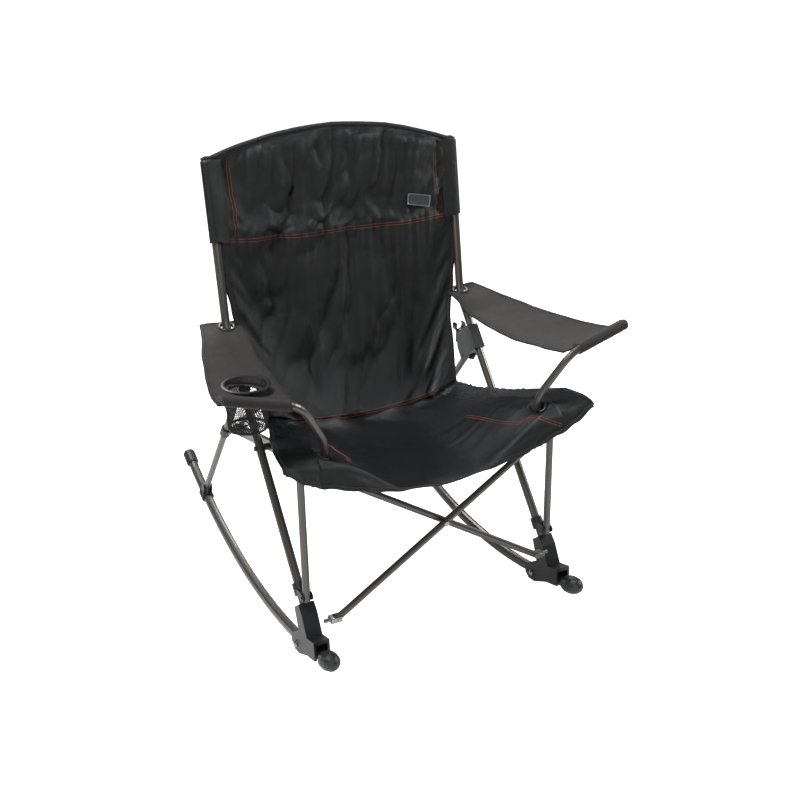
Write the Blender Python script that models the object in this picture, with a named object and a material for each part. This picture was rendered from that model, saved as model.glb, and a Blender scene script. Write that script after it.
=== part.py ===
"""Folding camp rocking chair: two rocker frames joined by front and rear cross braces, with a fabric sling."""

import math

import bmesh
import bpy
from mathutils import Matrix, Vector

# Overall sizes, metres. X is across the chair, the sitter faces -Y, the floor is Z = 0.
SIDE_X = 0.295  # centre plane of each side frame
ROCKER_ARC = 1.15  # radius of the rocker's centreline
ROCKER_R = 0.0115
ROCKER_FRONT = math.radians(-18.4)  # ends of the arc, from its lowest point
ROCKER_REAR = math.radians(27.4)
POST_R = 0.0095  # the long bent tube: leg below, back post above
LEG_R = 0.008  # front and rear legs and the arm tubes
BRACE_R = 0.0072  # cross braces
POST_FOOT = (-0.245, 0.130)  # (y, z) where the bent tube enters its foot
POST_BEND = (0.145, 0.605)
POST_TOP = (0.203, 0.948)
BEND_RADIUS = 0.11
GAP = 0.0004  # running clearance between pieces
HOLE_GAP = 0.0005  # clearance of a pin in its hole
PIN_R = 0.0035
BOLT_Y = -0.235  # pivot bolt of the rocker in its foot bracket
FOOT_HALF = ROCKER_R + 0.006  # half width of the foot moulding
SLIDER_WALL = 0.0042
SLIDER_HALF = 0.013
LEG_SLIDER_AT = 0.036  # front leg's slider, along the bent tube from its foot
FRONT_PIN = (-0.258, 0.158)
HUB_PIN = (-0.248, 0.446)
RAIL_X = SIDE_X - 0.027  # centre plane of the side rails
RAIL_THICK = 0.011
RAIL_HIGH = 0.024
REAR_PIVOT = (0.107, 0.459)  # top of the rear leg in its bracket
CLAMP_AT = math.radians(20.4)  # rear leg's clamp on the rocker arc
CLAMP_LIFT = 0.030  # clamp pin above the rocker's centreline
REAR_SLIDER_AT = 0.150  # rear slider, down the rear leg from its pivot
BRACE_FOOT = (SIDE_X - 0.048, -0.296, 0.121)  # lower pins of the front braces
BRACE_TOP = (SIDE_X - 0.052, -0.296, 0.430)
REAR_BRACE_TOP = (SIDE_X - 0.033, 0.186, 0.670)
REAR_BRACE_FOOT = (SIDE_X - 0.048, 0.222, 0.345)
BRACE_END = 0.006  # tube beyond its end pins
BRACE_STEP = BRACE_R + 0.0007  # each brace off the plane they share
LINK_THICK = 0.0022
ARM_FRONT = (SIDE_X + 0.023, -0.294, 0.598)  # bend of the arm tube under the armrest
ARM_TIP = (SIDE_X + 0.152, -0.283, 0.630)
ARM_LOW = (SIDE_X - 0.0465, -0.266, 0.500)  # first bend of the arm tube, above the hub
ARM_FOOT = (SIDE_X - 0.0475, -0.256, 0.430)
ARMREST_THICK = 0.0036
SLING_THICK = 0.0034
CUP_CENTRE = (-SIDE_X - 0.065, -0.150)
CUP_R = 0.042
CUP_DEEP = 0.088
CUP_WALL = 0.0022
BACK_MARGIN = 0.0025  # cloth edge to the post's inner face
BACK_CROWN = 0.048  # rise of the back's top edge at its middle
HUB_TOP = 0.4705
RING = 12  # sides of a leg tube

MATERIALS = {}


def material(name, colour, rough, metal=0.0):
    if name not in MATERIALS:
        mat = bpy.data.materials.new(name)
        mat.use_nodes = True
        shader = mat.node_tree.nodes["Principled BSDF"]
        shader.inputs["Base Color"].default_value = (*colour, 1.0)
        shader.inputs["Roughness"].default_value = rough
        shader.inputs["Metallic"].default_value = metal
        MATERIALS[name] = mat
    return MATERIALS[name]


def steel():
    return material("satin_grey_steel", (0.17, 0.165, 0.155), 0.38, 0.85)


def plated():
    return material("plated_rivet", (0.42, 0.42, 0.41), 0.32, 0.95)


def plastic():
    return material("charcoal_nylon", (0.028, 0.029, 0.031), 0.55)


def cloth():
    return material("black_polyester", (0.022, 0.024, 0.026), 0.85)


def binding():
    return material("black_mesh", (0.012, 0.012, 0.012), 0.9)


def node(name, mesh, mat, origin=(0, 0, 0), smooth=True):
    """Adds a mesh given in world coordinates as an object whose origin is at a chosen point."""
    mesh.transform(Matrix.Translation(-Vector(origin)))
    mesh.name = name
    if smooth:
        mesh.shade_smooth()
        mesh.set_sharp_from_angle(angle=math.radians(35))
    obj = bpy.data.objects.new(name, mesh)
    obj.location = origin
    mesh.materials.append(mat)
    bpy.context.scene.collection.objects.link(obj)
    return obj


def to_mesh(bm):
    bmesh.ops.recalc_face_normals(bm, faces=bm.faces)
    mesh = bpy.data.meshes.new("piece")
    bm.to_mesh(mesh)
    bm.free()
    return mesh


def sweep(path, radius, sides=RING, flat=None):
    """A closed round rod along points, or an oval one where flat gives (across X, other) radii."""
    path = [Vector(p) for p in path]
    bm = bmesh.new()
    rings = []
    tangent = (path[1] - path[0]).normalized()
    across = Vector((1, 0, 0))
    if abs(tangent.x) > 0.75:
        across = Vector((0, 1, 0))
    across = (across - tangent * across.dot(tangent)).normalized()
    for i, point in enumerate(path):
        before = path[max(i - 1, 0)]
        after = path[min(i + 1, len(path) - 1)]
        turned = (after - before).normalized()
        across = (across - turned * across.dot(turned)).normalized()
        other = turned.cross(across)
        wide, high = flat or (radius, radius)
        ring = []
        for k in range(sides):
            angle = 2 * math.pi * (k + 0.5) / sides
            ring.append(bm.verts.new(point + across * math.cos(angle) * wide + other * math.sin(angle) * high))
        rings.append(ring)
    for one, two in zip(rings, rings[1:]):
        for k in range(sides):
            bm.faces.new((one[k], one[(k + 1) % sides], two[(k + 1) % sides], two[k]))
    bm.faces.new(rings[0][::-1])
    bm.faces.new(rings[-1])
    return to_mesh(bm)


def rounded(points, radius, steps=5):
    """The polyline with each inner corner turned into an arc."""
    points = [Vector(p) for p in points]
    out = [points[0]]
    for a, b, c in zip(points, points[1:], points[2:]):
        u = (a - b).normalized()
        v = (c - b).normalized()
        half = u.angle(v) / 2
        cut = min(radius / math.tan(half), 0.48 * (a - b).length, 0.48 * (c - b).length)
        arc = cut * math.tan(half)
        centre = b + (u + v).normalized() * (arc / math.sin(half))
        start = b + u * cut - centre
        axis = start.cross(b + v * cut - centre).normalized()
        total = start.angle(b + v * cut - centre)
        for i in range(steps + 1):
            out.append(centre + Matrix.Rotation(total * i / steps, 3, axis) @ start)
    return out + [points[-1]]


def lathe(base, along, profile, sides=16):
    """A closed turned solid: profile is a closed loop of (distance along, radius), radius 0 on the axis."""
    along = Vector(along).normalized()
    side = along.orthogonal().normalized()
    other = along.cross(side)
    bm = bmesh.new()
    loops = []
    for distance, radius in profile:
        centre = Vector(base) + along * distance
        if radius < 1e-9:
            loops.append([bm.verts.new(centre)])
            continue
        loops.append([])
        for k in range(sides):
            angle = 2 * math.pi * k / sides
            loops[-1].append(bm.verts.new(centre + (side * math.cos(angle) + other * math.sin(angle)) * radius))
    closed = len(loops[0]) > 1 or len(loops[-1]) > 1
    pairs = list(zip(loops, loops[1:])) + ([(loops[-1], loops[0])] if closed else [])
    for one, two in pairs:
        for k in range(sides):
            j = (k + 1) % sides
            corners = [one[k % len(one)], one[j % len(one)], two[j % len(two)], two[k % len(two)]]
            unique = list(dict.fromkeys(corners))
            if len(unique) > 2:
                bm.faces.new(unique)
    return to_mesh(bm)


def rod(a, b, radius, sides=16):
    a = Vector(a)
    length = (Vector(b) - a).length
    return lathe(a, Vector(b) - a, [(0, 0), (0, radius), (length, radius), (length, 0)], sides)


def ring(centre, along, inner, outer, half, sides=16):
    """A collar with a polygon bore whose flats clear a round tube of the inner radius."""
    bore = inner / math.cos(math.pi / sides)
    return lathe(centre, along, [(-half, bore), (-half, outer), (half, outer), (half, bore)], sides)


def plate(outline, x0, x1):
    """A plate between two X planes with a (y, z) outline."""
    bm = bmesh.new()
    near = [bm.verts.new((x0, y, z)) for y, z in outline]
    far = [bm.verts.new((x1, y, z)) for y, z in outline]
    bm.faces.new(near)
    bm.faces.new(far[::-1])
    for k in range(len(outline)):
        j = (k + 1) % len(outline)
        bm.faces.new((near[k], far[k], far[j], near[j]))
    return to_mesh(bm)


def box(centre, size, turn=None):
    bm = bmesh.new()
    bmesh.ops.create_cube(bm, size=1.0)
    bmesh.ops.scale(bm, vec=Vector(size), verts=bm.verts)
    if turn:
        bmesh.ops.rotate(bm, cent=(0, 0, 0), matrix=turn, verts=bm.verts)
    bmesh.ops.translate(bm, vec=Vector(centre), verts=bm.verts)
    return to_mesh(bm)


def combine(first, others, operation):
    """The first mesh with the others joined to it or cut from it."""
    body = bpy.data.objects.new("body", first)
    bpy.context.scene.collection.objects.link(body)
    tools = []
    for mesh in others:
        tool = bpy.data.objects.new("tool", mesh)
        bpy.context.scene.collection.objects.link(tool)
        step = body.modifiers.new("step", "BOOLEAN")
        step.operation = operation
        step.object = tool
        tools.append(tool)
    bpy.context.view_layer.update()
    made = bpy.data.meshes.new_from_object(body.evaluated_get(bpy.context.evaluated_depsgraph_get()))
    for obj in [body, *tools]:
        bpy.data.objects.remove(obj)
    return made


def joined(first, *others):
    return combine(first, others, "UNION")


def cut(first, *others):
    return combine(first, others, "DIFFERENCE")


def disc_outline(centre, radius, steps=16):
    y, z = centre
    turns = [2 * math.pi * k / steps for k in range(steps)]
    return [(y + radius * math.cos(a), z + radius * math.sin(a)) for a in turns]


def stadium(a, b, radius, steps=6):
    """Outline of a strap with round ends between two (y, z) points."""
    heading = math.atan2(b[1] - a[1], b[0] - a[0])
    out = []
    for centre, start in ((b, heading - math.pi / 2), (a, heading + math.pi / 2)):
        for k in range(steps + 1):
            angle = start + math.pi * k / steps
            out.append((centre[0] + radius * math.cos(angle), centre[1] + radius * math.sin(angle)))
    return out


def yz(x, point):
    return Vector((x, point[0], point[1]))


def between(a, b, t):
    return (a[0] + (b[0] - a[0]) * t, a[1] + (b[1] - a[1]) * t)


def on_arc(turn, lift=0.0):
    """(y, z) on the rocker's centreline, or lifted towards its centre."""
    reach = ROCKER_ARC - lift
    return (reach * math.sin(turn), ROCKER_R + ROCKER_ARC - reach * math.cos(turn))


def unit(a, b):
    length = math.hypot(b[0] - a[0], b[1] - a[1])
    return ((b[0] - a[0]) / length, (b[1] - a[1]) / length)


POST_DIR = unit(POST_FOOT, POST_BEND)
POST_BACK = (POST_DIR[1], -POST_DIR[0])  # square to the lower post, towards the rear


def by_post(along, back=0.0):
    """(y, z) from the foot of the bent tube: along it, and square to it towards the rear."""
    return (
        POST_FOOT[0] + POST_DIR[0] * along + POST_BACK[0] * back,
        POST_FOOT[1] + POST_DIR[1] * along + POST_BACK[1] * back,
    )


CLAMP_PIN = on_arc(CLAMP_AT, CLAMP_LIFT)
REAR_DIR = unit(REAR_PIVOT, CLAMP_PIN)
REAR_SLIDER = (
    REAR_PIVOT[0] + REAR_DIR[0] * REAR_SLIDER_AT,
    REAR_PIVOT[1] + REAR_DIR[1] * REAR_SLIDER_AT,
)


def rail_crossing():
    """(y, z) where the side rail's line crosses the bent tube's lower run."""
    rail = unit(HUB_PIN, REAR_SLIDER)
    across = (HUB_PIN[0] - POST_FOOT[0], HUB_PIN[1] - POST_FOOT[1])
    bottom = POST_DIR[0] * rail[1] - POST_DIR[1] * rail[0]
    along = (across[0] * rail[1] - across[1] * rail[0]) / bottom
    return by_post(along)


RAIL_RIVET = rail_crossing()
BOLT = on_arc(math.asin(BOLT_Y / ROCKER_ARC))


def pin_hole(x, point, radius=PIN_R + HOLE_GAP):
    return rod(yz(x - 0.03, point), yz(x + 0.03, point), radius, 12)


def build_rocker(s, tag):
    x = s * SIDE_X
    steps = 18
    turns = [ROCKER_FRONT + (ROCKER_REAR - ROCKER_FRONT) * k / steps for k in range(steps + 1)]
    tube = sweep([yz(x, on_arc(t)) for t in turns], ROCKER_R, 14)
    tube = cut(tube, pin_hole(x, BOLT, 0.004 + HOLE_GAP))
    node("rocker_tube_" + tag, tube, steel(), yz(x, BOLT))
    front = Vector((0, math.cos(ROCKER_FRONT), math.sin(ROCKER_FRONT)))
    bore = ROCKER_R + 2 * GAP
    size = ROCKER_R
    egg = [(0.019, 0), (0.019, bore), (-0.001, bore), (-0.002, size + 0.0050), (0.006, size + 0.0080)]
    egg += [(0.020, size + 0.0090), (0.034, size + 0.0070), (0.044, size + 0.0020), (0.050, 0.0060), (0.052, 0)]
    node("front_cap_" + tag, lathe(yz(x, on_arc(ROCKER_FRONT)) + front * 0.018, -front, egg), plastic())
    rear = Vector((0, math.cos(ROCKER_REAR), math.sin(ROCKER_REAR)))
    stub = [(0.031, 0), (0.031, bore), (0, bore), (0, size + 0.0030), (0.003, size + 0.0043)]
    stub += [(0.034, size + 0.0043), (0.039, size + 0.0020), (0.041, 0)]
    node("rear_cap_" + tag, lathe(yz(x, on_arc(ROCKER_REAR)) - rear * 0.030, rear, stub), plastic())


def build_foot(s, tag):
    """Moulded foot: a socket on the bent tube over a channel that straddles the rocker."""
    x = s * SIDE_X
    wide = FOOT_HALF
    lift = ROCKER_R + 0.0225
    outline = [on_arc(math.asin(y / ROCKER_ARC), lift) for y in (-0.338, -0.320, -0.302)]
    socket = POST_R + 0.0050
    outline += [by_post(-0.020, -socket - 0.002), by_post(0.004, -socket), by_post(0.004, socket)]
    outline += [by_post(-0.045, 0.030), (BOLT[0] + 0.026, BOLT[1] + 0.012), (BOLT[0] + 0.026, BOLT[1] - 0.009)]
    outline += [(BOLT[0] + 0.012, BOLT[1] - 0.020), (BOLT[0] - 0.012, BOLT[1] - 0.017)]
    outline += [on_arc(math.asin(y / ROCKER_ARC), -0.007) for y in (-0.290, -0.330)]
    body = plate(outline, x - wide, x + wide)
    room = ROCKER_R + 0.001
    roof = [(-0.400, 0.0215), (-0.338, 0.0138), (-0.300, 0.0090), (-0.262, 0.0042), (BOLT_Y, 0.0012), (-0.150, 0)]
    slot = [on_arc(math.asin(y / ROCKER_ARC), room + extra) for y, extra in roof]
    slot += [(-0.150, -0.050), (-0.400, -0.050)]
    channel = plate(slot, x - room, x + room)
    corners = ((-0.080, 0.034), (-0.020, 0.034), (-0.020, 0.120), (-0.080, 0.120))
    notch = plate([by_post(*corner) for corner in corners], x - room, x + room)
    bore = rod(yz(x, by_post(-0.030)), yz(x, by_post(0.03)), (POST_R + GAP) / math.cos(math.pi / 16), 16)
    body = cut(body, channel, notch, bore, pin_hole(x, BOLT, 0.004 + HOLE_GAP))
    node("foot_bracket_" + tag, body, plastic(), yz(x, BOLT))
    face = FOOT_HALF + GAP
    head = [(face + 0.0056, 0), (face + 0.0056, 0.0045), (face + 0.0026, 0.0075), (face, 0.0075), (face, 0.004)]
    head = [(-along, radius) for along, radius in head] + head[::-1]
    node("foot_bolt_" + tag, lathe(yz(x, BOLT), (1, 0, 0), head, 12), plated())


def post_path(x):
    return rounded([yz(x, by_post(-0.028)), yz(x, POST_BEND), yz(x, POST_TOP)], BEND_RADIUS, 7)


def post_y(z):
    """Y of the bent tube's centreline at a height."""
    path = post_path(0)
    return linear(z, [(point.z, point.y) for point in path])


def build_post(s, tag):
    x = s * SIDE_X
    path = post_path(x)
    tube = cut(sweep(path, POST_R, 14), pin_hole(x, RAIL_RIVET, PIN_R + HOLE_GAP))
    node("back_post_" + tag, tube, steel(), yz(x, POST_FOOT))
    top = (Vector(path[-1]) - Vector(path[-2])).normalized()
    plug = [(0.0004, 0), (0.0004, 0.0095), (0.004, 0.0098), (0.010, 0.0075), (0.012, 0)]
    node("post_plug_" + tag, lathe(path[-1], top, plug, 12), plastic())


def slider(x, centre, along, tube, pin, leg_r, pinned=True):
    """A moulded collar on a tube, with two cheeks that hold a leg's end on a pin."""
    outer = tube + SLIDER_WALL
    collar = ring(yz(x, centre), yz(0, along), tube + GAP, outer, SLIDER_HALF)
    cheeks = []
    for side in (-1, 1):
        inner = x + side * (leg_r + GAP)
        cheeks.append(plate(stadium(between(centre, pin, 0.42), pin, 0.0085), inner, inner + side * 0.0032))
    reach = leg_r + 0.0052
    if pinned:
        cheeks.append(rod(yz(x - reach, pin), yz(x + reach, pin), PIN_R, 12))
    body = joined(collar, *cheeks)
    passage = rod(yz(x, (centre[0] - along[0] * 0.05, centre[1] - along[1] * 0.05)),
                  yz(x, (centre[0] + along[0] * 0.05, centre[1] + along[1] * 0.05)),
                  (tube + GAP) / math.cos(math.pi / 16), 16)
    return cut(body, passage)


def build_front_leg(s, tag):
    x = s * SIDE_X
    centre = by_post(LEG_SLIDER_AT)
    collar = slider(x, centre, POST_DIR, POST_R, FRONT_PIN, LEG_R)
    node("leg_slider_" + tag, collar, plastic(), yz(x, centre))
    heading = unit(FRONT_PIN, HUB_PIN)
    low = (FRONT_PIN[0] - heading[0] * 0.009, FRONT_PIN[1] - heading[1] * 0.009)
    high = (HUB_PIN[0] + heading[0] * 0.010, HUB_PIN[1] + heading[1] * 0.010)
    tube = cut(sweep([yz(x, low), yz(x, high)], LEG_R), pin_hole(x, FRONT_PIN))
    head = rod(yz(x + s * 0.002, HUB_PIN), yz(x + s * (LEG_R + 0.003), HUB_PIN), 0.006, 12)
    node("front_leg_" + tag, joined(tube, head), steel(), yz(x, FRONT_PIN))


def build_hub(s, tag):
    """Corner hub: a forked web beside the front leg, with a socket for the arm tube."""
    outer = s * (SIDE_X - LEG_R - 0.001)
    web = plate([(-0.2735, 0.440), (-0.2735, HUB_TOP - 0.002), (-0.246, HUB_TOP), (-0.232, 0.456),
                 (-0.236, 0.430), (-0.262, 0.412), (-0.2735, 0.416)], s * (SIDE_X - 0.0565), outer)
    bridge = plate([(-0.2900, 0.420), (-0.2900, 0.462), (-0.2845, HUB_TOP), (-0.2700, HUB_TOP),
                    (-0.2700, 0.416)], s * (SIDE_X - 0.0365), outer - s * 0.0003)
    rail_room = plate([(-0.2790, 0.395), (-0.2790, 0.490), (-0.150, 0.490), (-0.150, 0.395)],
                      s * (RAIL_X - RAIL_THICK / 2 - GAP), s * (RAIL_X + RAIL_THICK / 2 + GAP))
    a, b = arm_path(s)[:2]
    direction = (b - a).normalized()
    sleeve = ring(a + direction * 0.0237, direction, LEG_R + GAP, LEG_R + 0.0037, 0.018)
    body = joined(cut(joined(web, bridge), rail_room), sleeve)
    passage = rod(a - direction * 0.0007, a + direction * 0.2, (LEG_R + GAP) / math.cos(math.pi / 16), 16)
    node("corner_hub_" + tag, cut(body, passage), plastic(), yz(s * RAIL_X, HUB_PIN))


def arm_path(s):
    mirror = Vector((s, 1, 1))
    foot = Vector(ARM_FOOT) * mirror
    bend_low = Vector(ARM_LOW) * mirror
    corner = Vector(ARM_FRONT) * mirror
    tip = Vector(ARM_TIP) * mirror
    bend_high = corner + (corner - tip).normalized() * 0.012 + Vector((0, 0, 0.002))
    return rounded([foot, bend_low, bend_high, tip], 0.075, 6)


def build_arm(s, tag):
    node("arm_tube_" + tag, sweep(arm_path(s), LEG_R), steel(), Vector(ARM_FOOT) * Vector((s, 1, 1)))


def build_rail(s, tag):
    x = s * RAIL_X
    half = RAIL_THICK / 2
    strap = stadium(HUB_PIN, REAR_SLIDER, RAIL_HIGH / 2, 5)
    body = plate(strap, x - half, x + half)
    stub = rod(yz(x, REAR_SLIDER), yz(s * (SIDE_X - LEG_R - SLIDER_WALL - 0.0016), REAR_SLIDER), 0.006, 12)
    body = joined(body, stub)
    body = cut(body, pin_hole(x, RAIL_RIVET))
    node("side_rail_" + tag, body, steel(), yz(x, RAIL_RIVET), smooth=False)
    face = RAIL_X - half
    profile = [(face - 0.0042, 0), (face - 0.003, 0.006), (face - GAP, 0.006), (face - GAP, PIN_R)]
    profile += [(RAIL_X + half + GAP, PIN_R), (RAIL_X + half + GAP, 0.0075), (SIDE_X - POST_R - GAP, 0.0075)]
    profile += [(SIDE_X - POST_R - GAP, PIN_R), (SIDE_X + POST_R + GAP, PIN_R), (SIDE_X + POST_R + GAP, 0.006)]
    profile += [(SIDE_X + POST_R + 0.0035, 0.005), (SIDE_X + POST_R + 0.0035, 0)]
    rivet = lathe((0, RAIL_RIVET[0], RAIL_RIVET[1]), (s, 0, 0), profile, 12)
    node("rail_rivet_" + tag, rivet, plastic(), yz(x, RAIL_RIVET))


def build_rear_leg(s, tag):
    x = s * SIDE_X
    low = (CLAMP_PIN[0] + REAR_DIR[0] * 0.004, CLAMP_PIN[1] + REAR_DIR[1] * 0.004)
    high = (REAR_PIVOT[0] - REAR_DIR[0] * 0.010, REAR_PIVOT[1] - REAR_DIR[1] * 0.010)
    tube = cut(sweep([yz(x, low), yz(x, high)], LEG_R), pin_hole(x, REAR_PIVOT))
    node("rear_leg_" + tag, tube, steel(), yz(x, REAR_PIVOT))
    collar = ring(yz(x, REAR_SLIDER), yz(0, REAR_DIR), LEG_R + GAP, LEG_R + SLIDER_WALL, SLIDER_HALF)
    lug_face = SIDE_X - LEG_R - SLIDER_WALL - 0.0012
    lug = plate(disc_outline(REAR_SLIDER, 0.0095, 12), s * lug_face, s * (SIDE_X - LEG_R - 0.001))
    passage = rod(yz(x, REAR_PIVOT), yz(x, CLAMP_PIN), (LEG_R + GAP) / math.cos(math.pi / 16), 16)
    node("rear_slider_" + tag, cut(joined(collar, lug), passage), plastic(), yz(x, REAR_SLIDER))
    centre = on_arc(CLAMP_AT)
    along = (math.cos(CLAMP_AT), math.sin(CLAMP_AT))
    clamp = slider(x, centre, along, ROCKER_R + 0.0003, CLAMP_PIN, LEG_R, pinned=False)
    node("rocker_clamp_" + tag, clamp, plastic(), yz(x, centre))


def build_lock(s, tag):
    """Moulded bracket on the bent tube: cheeks for the rear leg's pin, and an open clip."""
    x = s * SIDE_X
    centre = by_post(0.500)
    wide = POST_R + 0.0033
    front = -POST_R - 0.0015
    outline = [by_post(0.470, front), by_post(0.530, front), by_post(0.534, 0.014), by_post(0.524, 0.060)]
    outline += [by_post(0.505, 0.072), by_post(0.470, 0.073), by_post(0.462, 0.058), by_post(0.470, 0.030)]
    body = plate(outline, x - wide, x + wide)
    slot = plate([by_post(0.440, 0.030), by_post(0.492, 0.030), by_post(0.500, 0.050), by_post(0.500, 0.110),
                  by_post(0.400, 0.110)], x - LEG_R - GAP, x + LEG_R + GAP)
    bore = rod(yz(x, by_post(0.42)), yz(x, by_post(0.57)), (POST_R + GAP) / math.cos(math.pi / 16), 16)
    body = cut(body, slot, bore)
    pin = rod(yz(x - wide - 0.001, REAR_PIVOT), yz(x + wide + 0.001, REAR_PIVOT), PIN_R, 12)
    clip_at = by_post(0.552, 0.052)
    half, reach = 0.0075, 0.0148
    arc = [math.radians(140 + 260 * k / 10) for k in range(11)]
    outer_arc = [(reach * math.cos(a), reach * math.sin(a)) for a in arc]
    inner_arc = [((reach - 0.0042) * math.cos(a), (reach - 0.0042) * math.sin(a)) for a in arc[::-1]]
    bm = bmesh.new()
    loop = outer_arc + inner_arc
    near = [bm.verts.new((x + dx, clip_at[0] - half, clip_at[1] + dz)) for dx, dz in loop]
    far = [bm.verts.new((x + dx, clip_at[0] + half, clip_at[1] + dz)) for dx, dz in loop]
    count = len(loop)
    for k in range(count):
        bm.faces.new((near[k], near[(k + 1) % count], far[(k + 1) % count], far[k]))
    for k in range(10):
        bm.faces.new((near[k], near[count - 1 - k], near[count - 2 - k], near[k + 1]))
        bm.faces.new((far[k], far[k + 1], far[count - 2 - k], far[count - 1 - k]))
    clip = to_mesh(bm)
    stem = box(yz(x, (clip_at[0] - 0.009, clip_at[1] - 0.0265)), (0.014, 0.026, 0.0305))
    body = joined(body, pin, clip, stem)
    node("lock_bracket_" + tag, body, plastic(), yz(x, centre))


def brace_pair(prefix, foot, top, front_first):
    """Two crossed tubes side by side, each from one side's low pin to the other side's high pin."""
    low_y, high_y = foot[1], top[1]
    lean = unit((low_y, foot[2]), (high_y, top[2]))
    square = Vector((0, lean[1], -lean[0]))  # square to the braces' plane, towards the rear
    out = []
    for k, s in ((0, -1), (1, 1)):
        offset = square * BRACE_STEP * (-1 if k == front_first else 1)
        a = Vector((s * foot[0], low_y, foot[2])) + offset
        b = Vector((-s * top[0], high_y, top[2])) + offset
        heading = (b - a).normalized()
        tube = sweep([a - heading * BRACE_END, b + heading * BRACE_END], BRACE_R)
        holes = []
        for point in (a, b):
            holes.append(rod(point - square * 0.03, point + square * 0.03, PIN_R + HOLE_GAP, 12))
        out.append((prefix + "_" + ("L" if s < 0 else "R"), tube, holes, a, b, square))
    return out


def build_braces(prefix, foot, top, front_first):
    pair = brace_pair(prefix, foot, top, front_first)
    square = pair[0][5]
    share = foot[0] / (foot[0] + top[0])
    middle = Vector((0, foot[1] + (top[1] - foot[1]) * share, foot[2] + (top[2] - foot[2]) * share))
    for name, tube, holes, a, b, _ in pair:
        holes.append(rod(middle - square * 0.03, middle + square * 0.03, PIN_R + HOLE_GAP, 12))
        node(name, cut(tube, *holes), steel(), a)
    reach = BRACE_STEP + BRACE_R
    profile = [(-reach - 0.0035, 0), (-reach - 0.0030, 0.0055), (-reach - GAP, 0.0062), (-reach - GAP, PIN_R)]
    profile += [(reach + GAP, PIN_R), (reach + GAP, 0.0062), (reach + 0.0030, 0.0055), (reach + 0.0035, 0)]
    node(prefix + "_rivet", lathe(middle, square, profile, 12), plated(), middle)
    return [(a, b, square, -1 if name.endswith("L") else 1) for name, _, _, a, b, _ in pair]


def build_end_pin(name, point, square):
    """The riveted pin through a brace's end."""
    half = BRACE_R + GAP
    profile = [(-half - 0.0020, 0), (-half - 0.0016, 0.0052), (-half, 0.0058), (-half, PIN_R)]
    profile += [(half, PIN_R), (half, 0.0058), (half + 0.0016, 0.0052), (half + 0.0020, 0)]
    node(name, lathe(point, square, profile, 12), plated(), point)


def build_end_link(name, point, square, x_from, s, high=0.0105):
    """A forged fork that carries one brace end on a pin and reaches out to the side frame."""
    point = Vector(point)
    cheek_gap = BRACE_R + GAP
    up = Vector((1, 0, 0)).cross(square)
    across = square
    parts = []
    reach = abs(x_from - abs(point.x))
    for side in (-1, 1):
        centre = point + across * side * (cheek_gap + LINK_THICK / 2)
        bm = bmesh.new()
        bmesh.ops.create_cube(bm, size=1.0)
        frame = Matrix((Vector((1, 0, 0)), across, up)).transposed()
        length = 0.024
        shift = Vector((s * (length / 2 - 0.006), 0, 0))
        bmesh.ops.scale(bm, vec=(length, LINK_THICK, high), verts=bm.verts)
        bmesh.ops.rotate(bm, cent=(0, 0, 0), matrix=frame, verts=bm.verts)
        bmesh.ops.translate(bm, vec=centre + shift, verts=bm.verts)
        parts.append(to_mesh(bm))
    web_at = point + Vector((s * 0.0162, 0, 0))
    bm = bmesh.new()
    bmesh.ops.create_cube(bm, size=1.0)
    frame = Matrix((Vector((1, 0, 0)), across, up)).transposed()
    bmesh.ops.scale(bm, vec=(0.0036, 2 * cheek_gap + 2 * LINK_THICK, high), verts=bm.verts)
    bmesh.ops.rotate(bm, cent=(0, 0, 0), matrix=frame, verts=bm.verts)
    bmesh.ops.translate(bm, vec=web_at, verts=bm.verts)
    parts.append(to_mesh(bm))
    half = cheek_gap + LINK_THICK + 0.0016
    parts.append(rod(point - across * half, point + across * half, PIN_R, 12))
    stem_from = point + Vector((s * 0.016, 0, 0))
    stem_to = Vector((s * x_from, point.y, point.z))
    if reach > 0.017:
        parts.append(rod(stem_from, stem_to, 0.0045, 12))
    return node(name, joined(parts[0], *parts[1:]), plated(), point)


def grid_solid(rows, thick):
    """A closed thin solid from a grid of top-surface points, thickened along its own normals."""
    count_u, count_v = len(rows), len(rows[0])
    normals = []
    for i in range(count_u):
        line = []
        for j in range(count_v):
            du = rows[min(i + 1, count_u - 1)][j] - rows[max(i - 1, 0)][j]
            dv = rows[i][min(j + 1, count_v - 1)] - rows[i][max(j - 1, 0)]
            line.append(du.cross(dv).normalized())
        normals.append(line)
    bm = bmesh.new()
    top, low = [], []
    for i in range(count_u):
        top.append([bm.verts.new(rows[i][j]) for j in range(count_v)])
        low.append([bm.verts.new(rows[i][j] + normals[i][j] * thick) for j in range(count_v)])
    for i in range(count_u - 1):
        for j in range(count_v - 1):
            bm.faces.new((top[i][j], top[i + 1][j], top[i + 1][j + 1], top[i][j + 1]))
            bm.faces.new((low[i][j], low[i][j + 1], low[i + 1][j + 1], low[i + 1][j]))
    edge = [(i, 0) for i in range(count_u)] + [(count_u - 1, j) for j in range(1, count_v)]
    edge += [(i, count_v - 1) for i in range(count_u - 2, -1, -1)] + [(0, j) for j in range(count_v - 2, 0, -1)]
    for (i, j), (k, m) in zip(edge, edge[1:] + edge[:1]):
        bm.faces.new((top[i][j], low[i][j], low[k][m], top[k][m]))
    return to_mesh(bm)


def eased(value, table):
    """Smooth value from (key, value) pairs in ascending key order."""
    if value <= table[0][0]:
        return table[0][1]
    for (k0, v0), (k1, v1) in zip(table, table[1:]):
        if value <= k1:
            t = (value - k0) / (k1 - k0)
            return v0 + (v1 - v0) * t * t * (3 - 2 * t)
    return table[-1][1]


def linear(value, table):
    if value <= table[0][0]:
        return table[0][1]
    for (k0, v0), (k1, v1) in zip(table, table[1:]):
        if value <= k1:
            return v0 + (v1 - v0) * (value - k0) / (k1 - k0)
    return table[-1][1]


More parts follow.
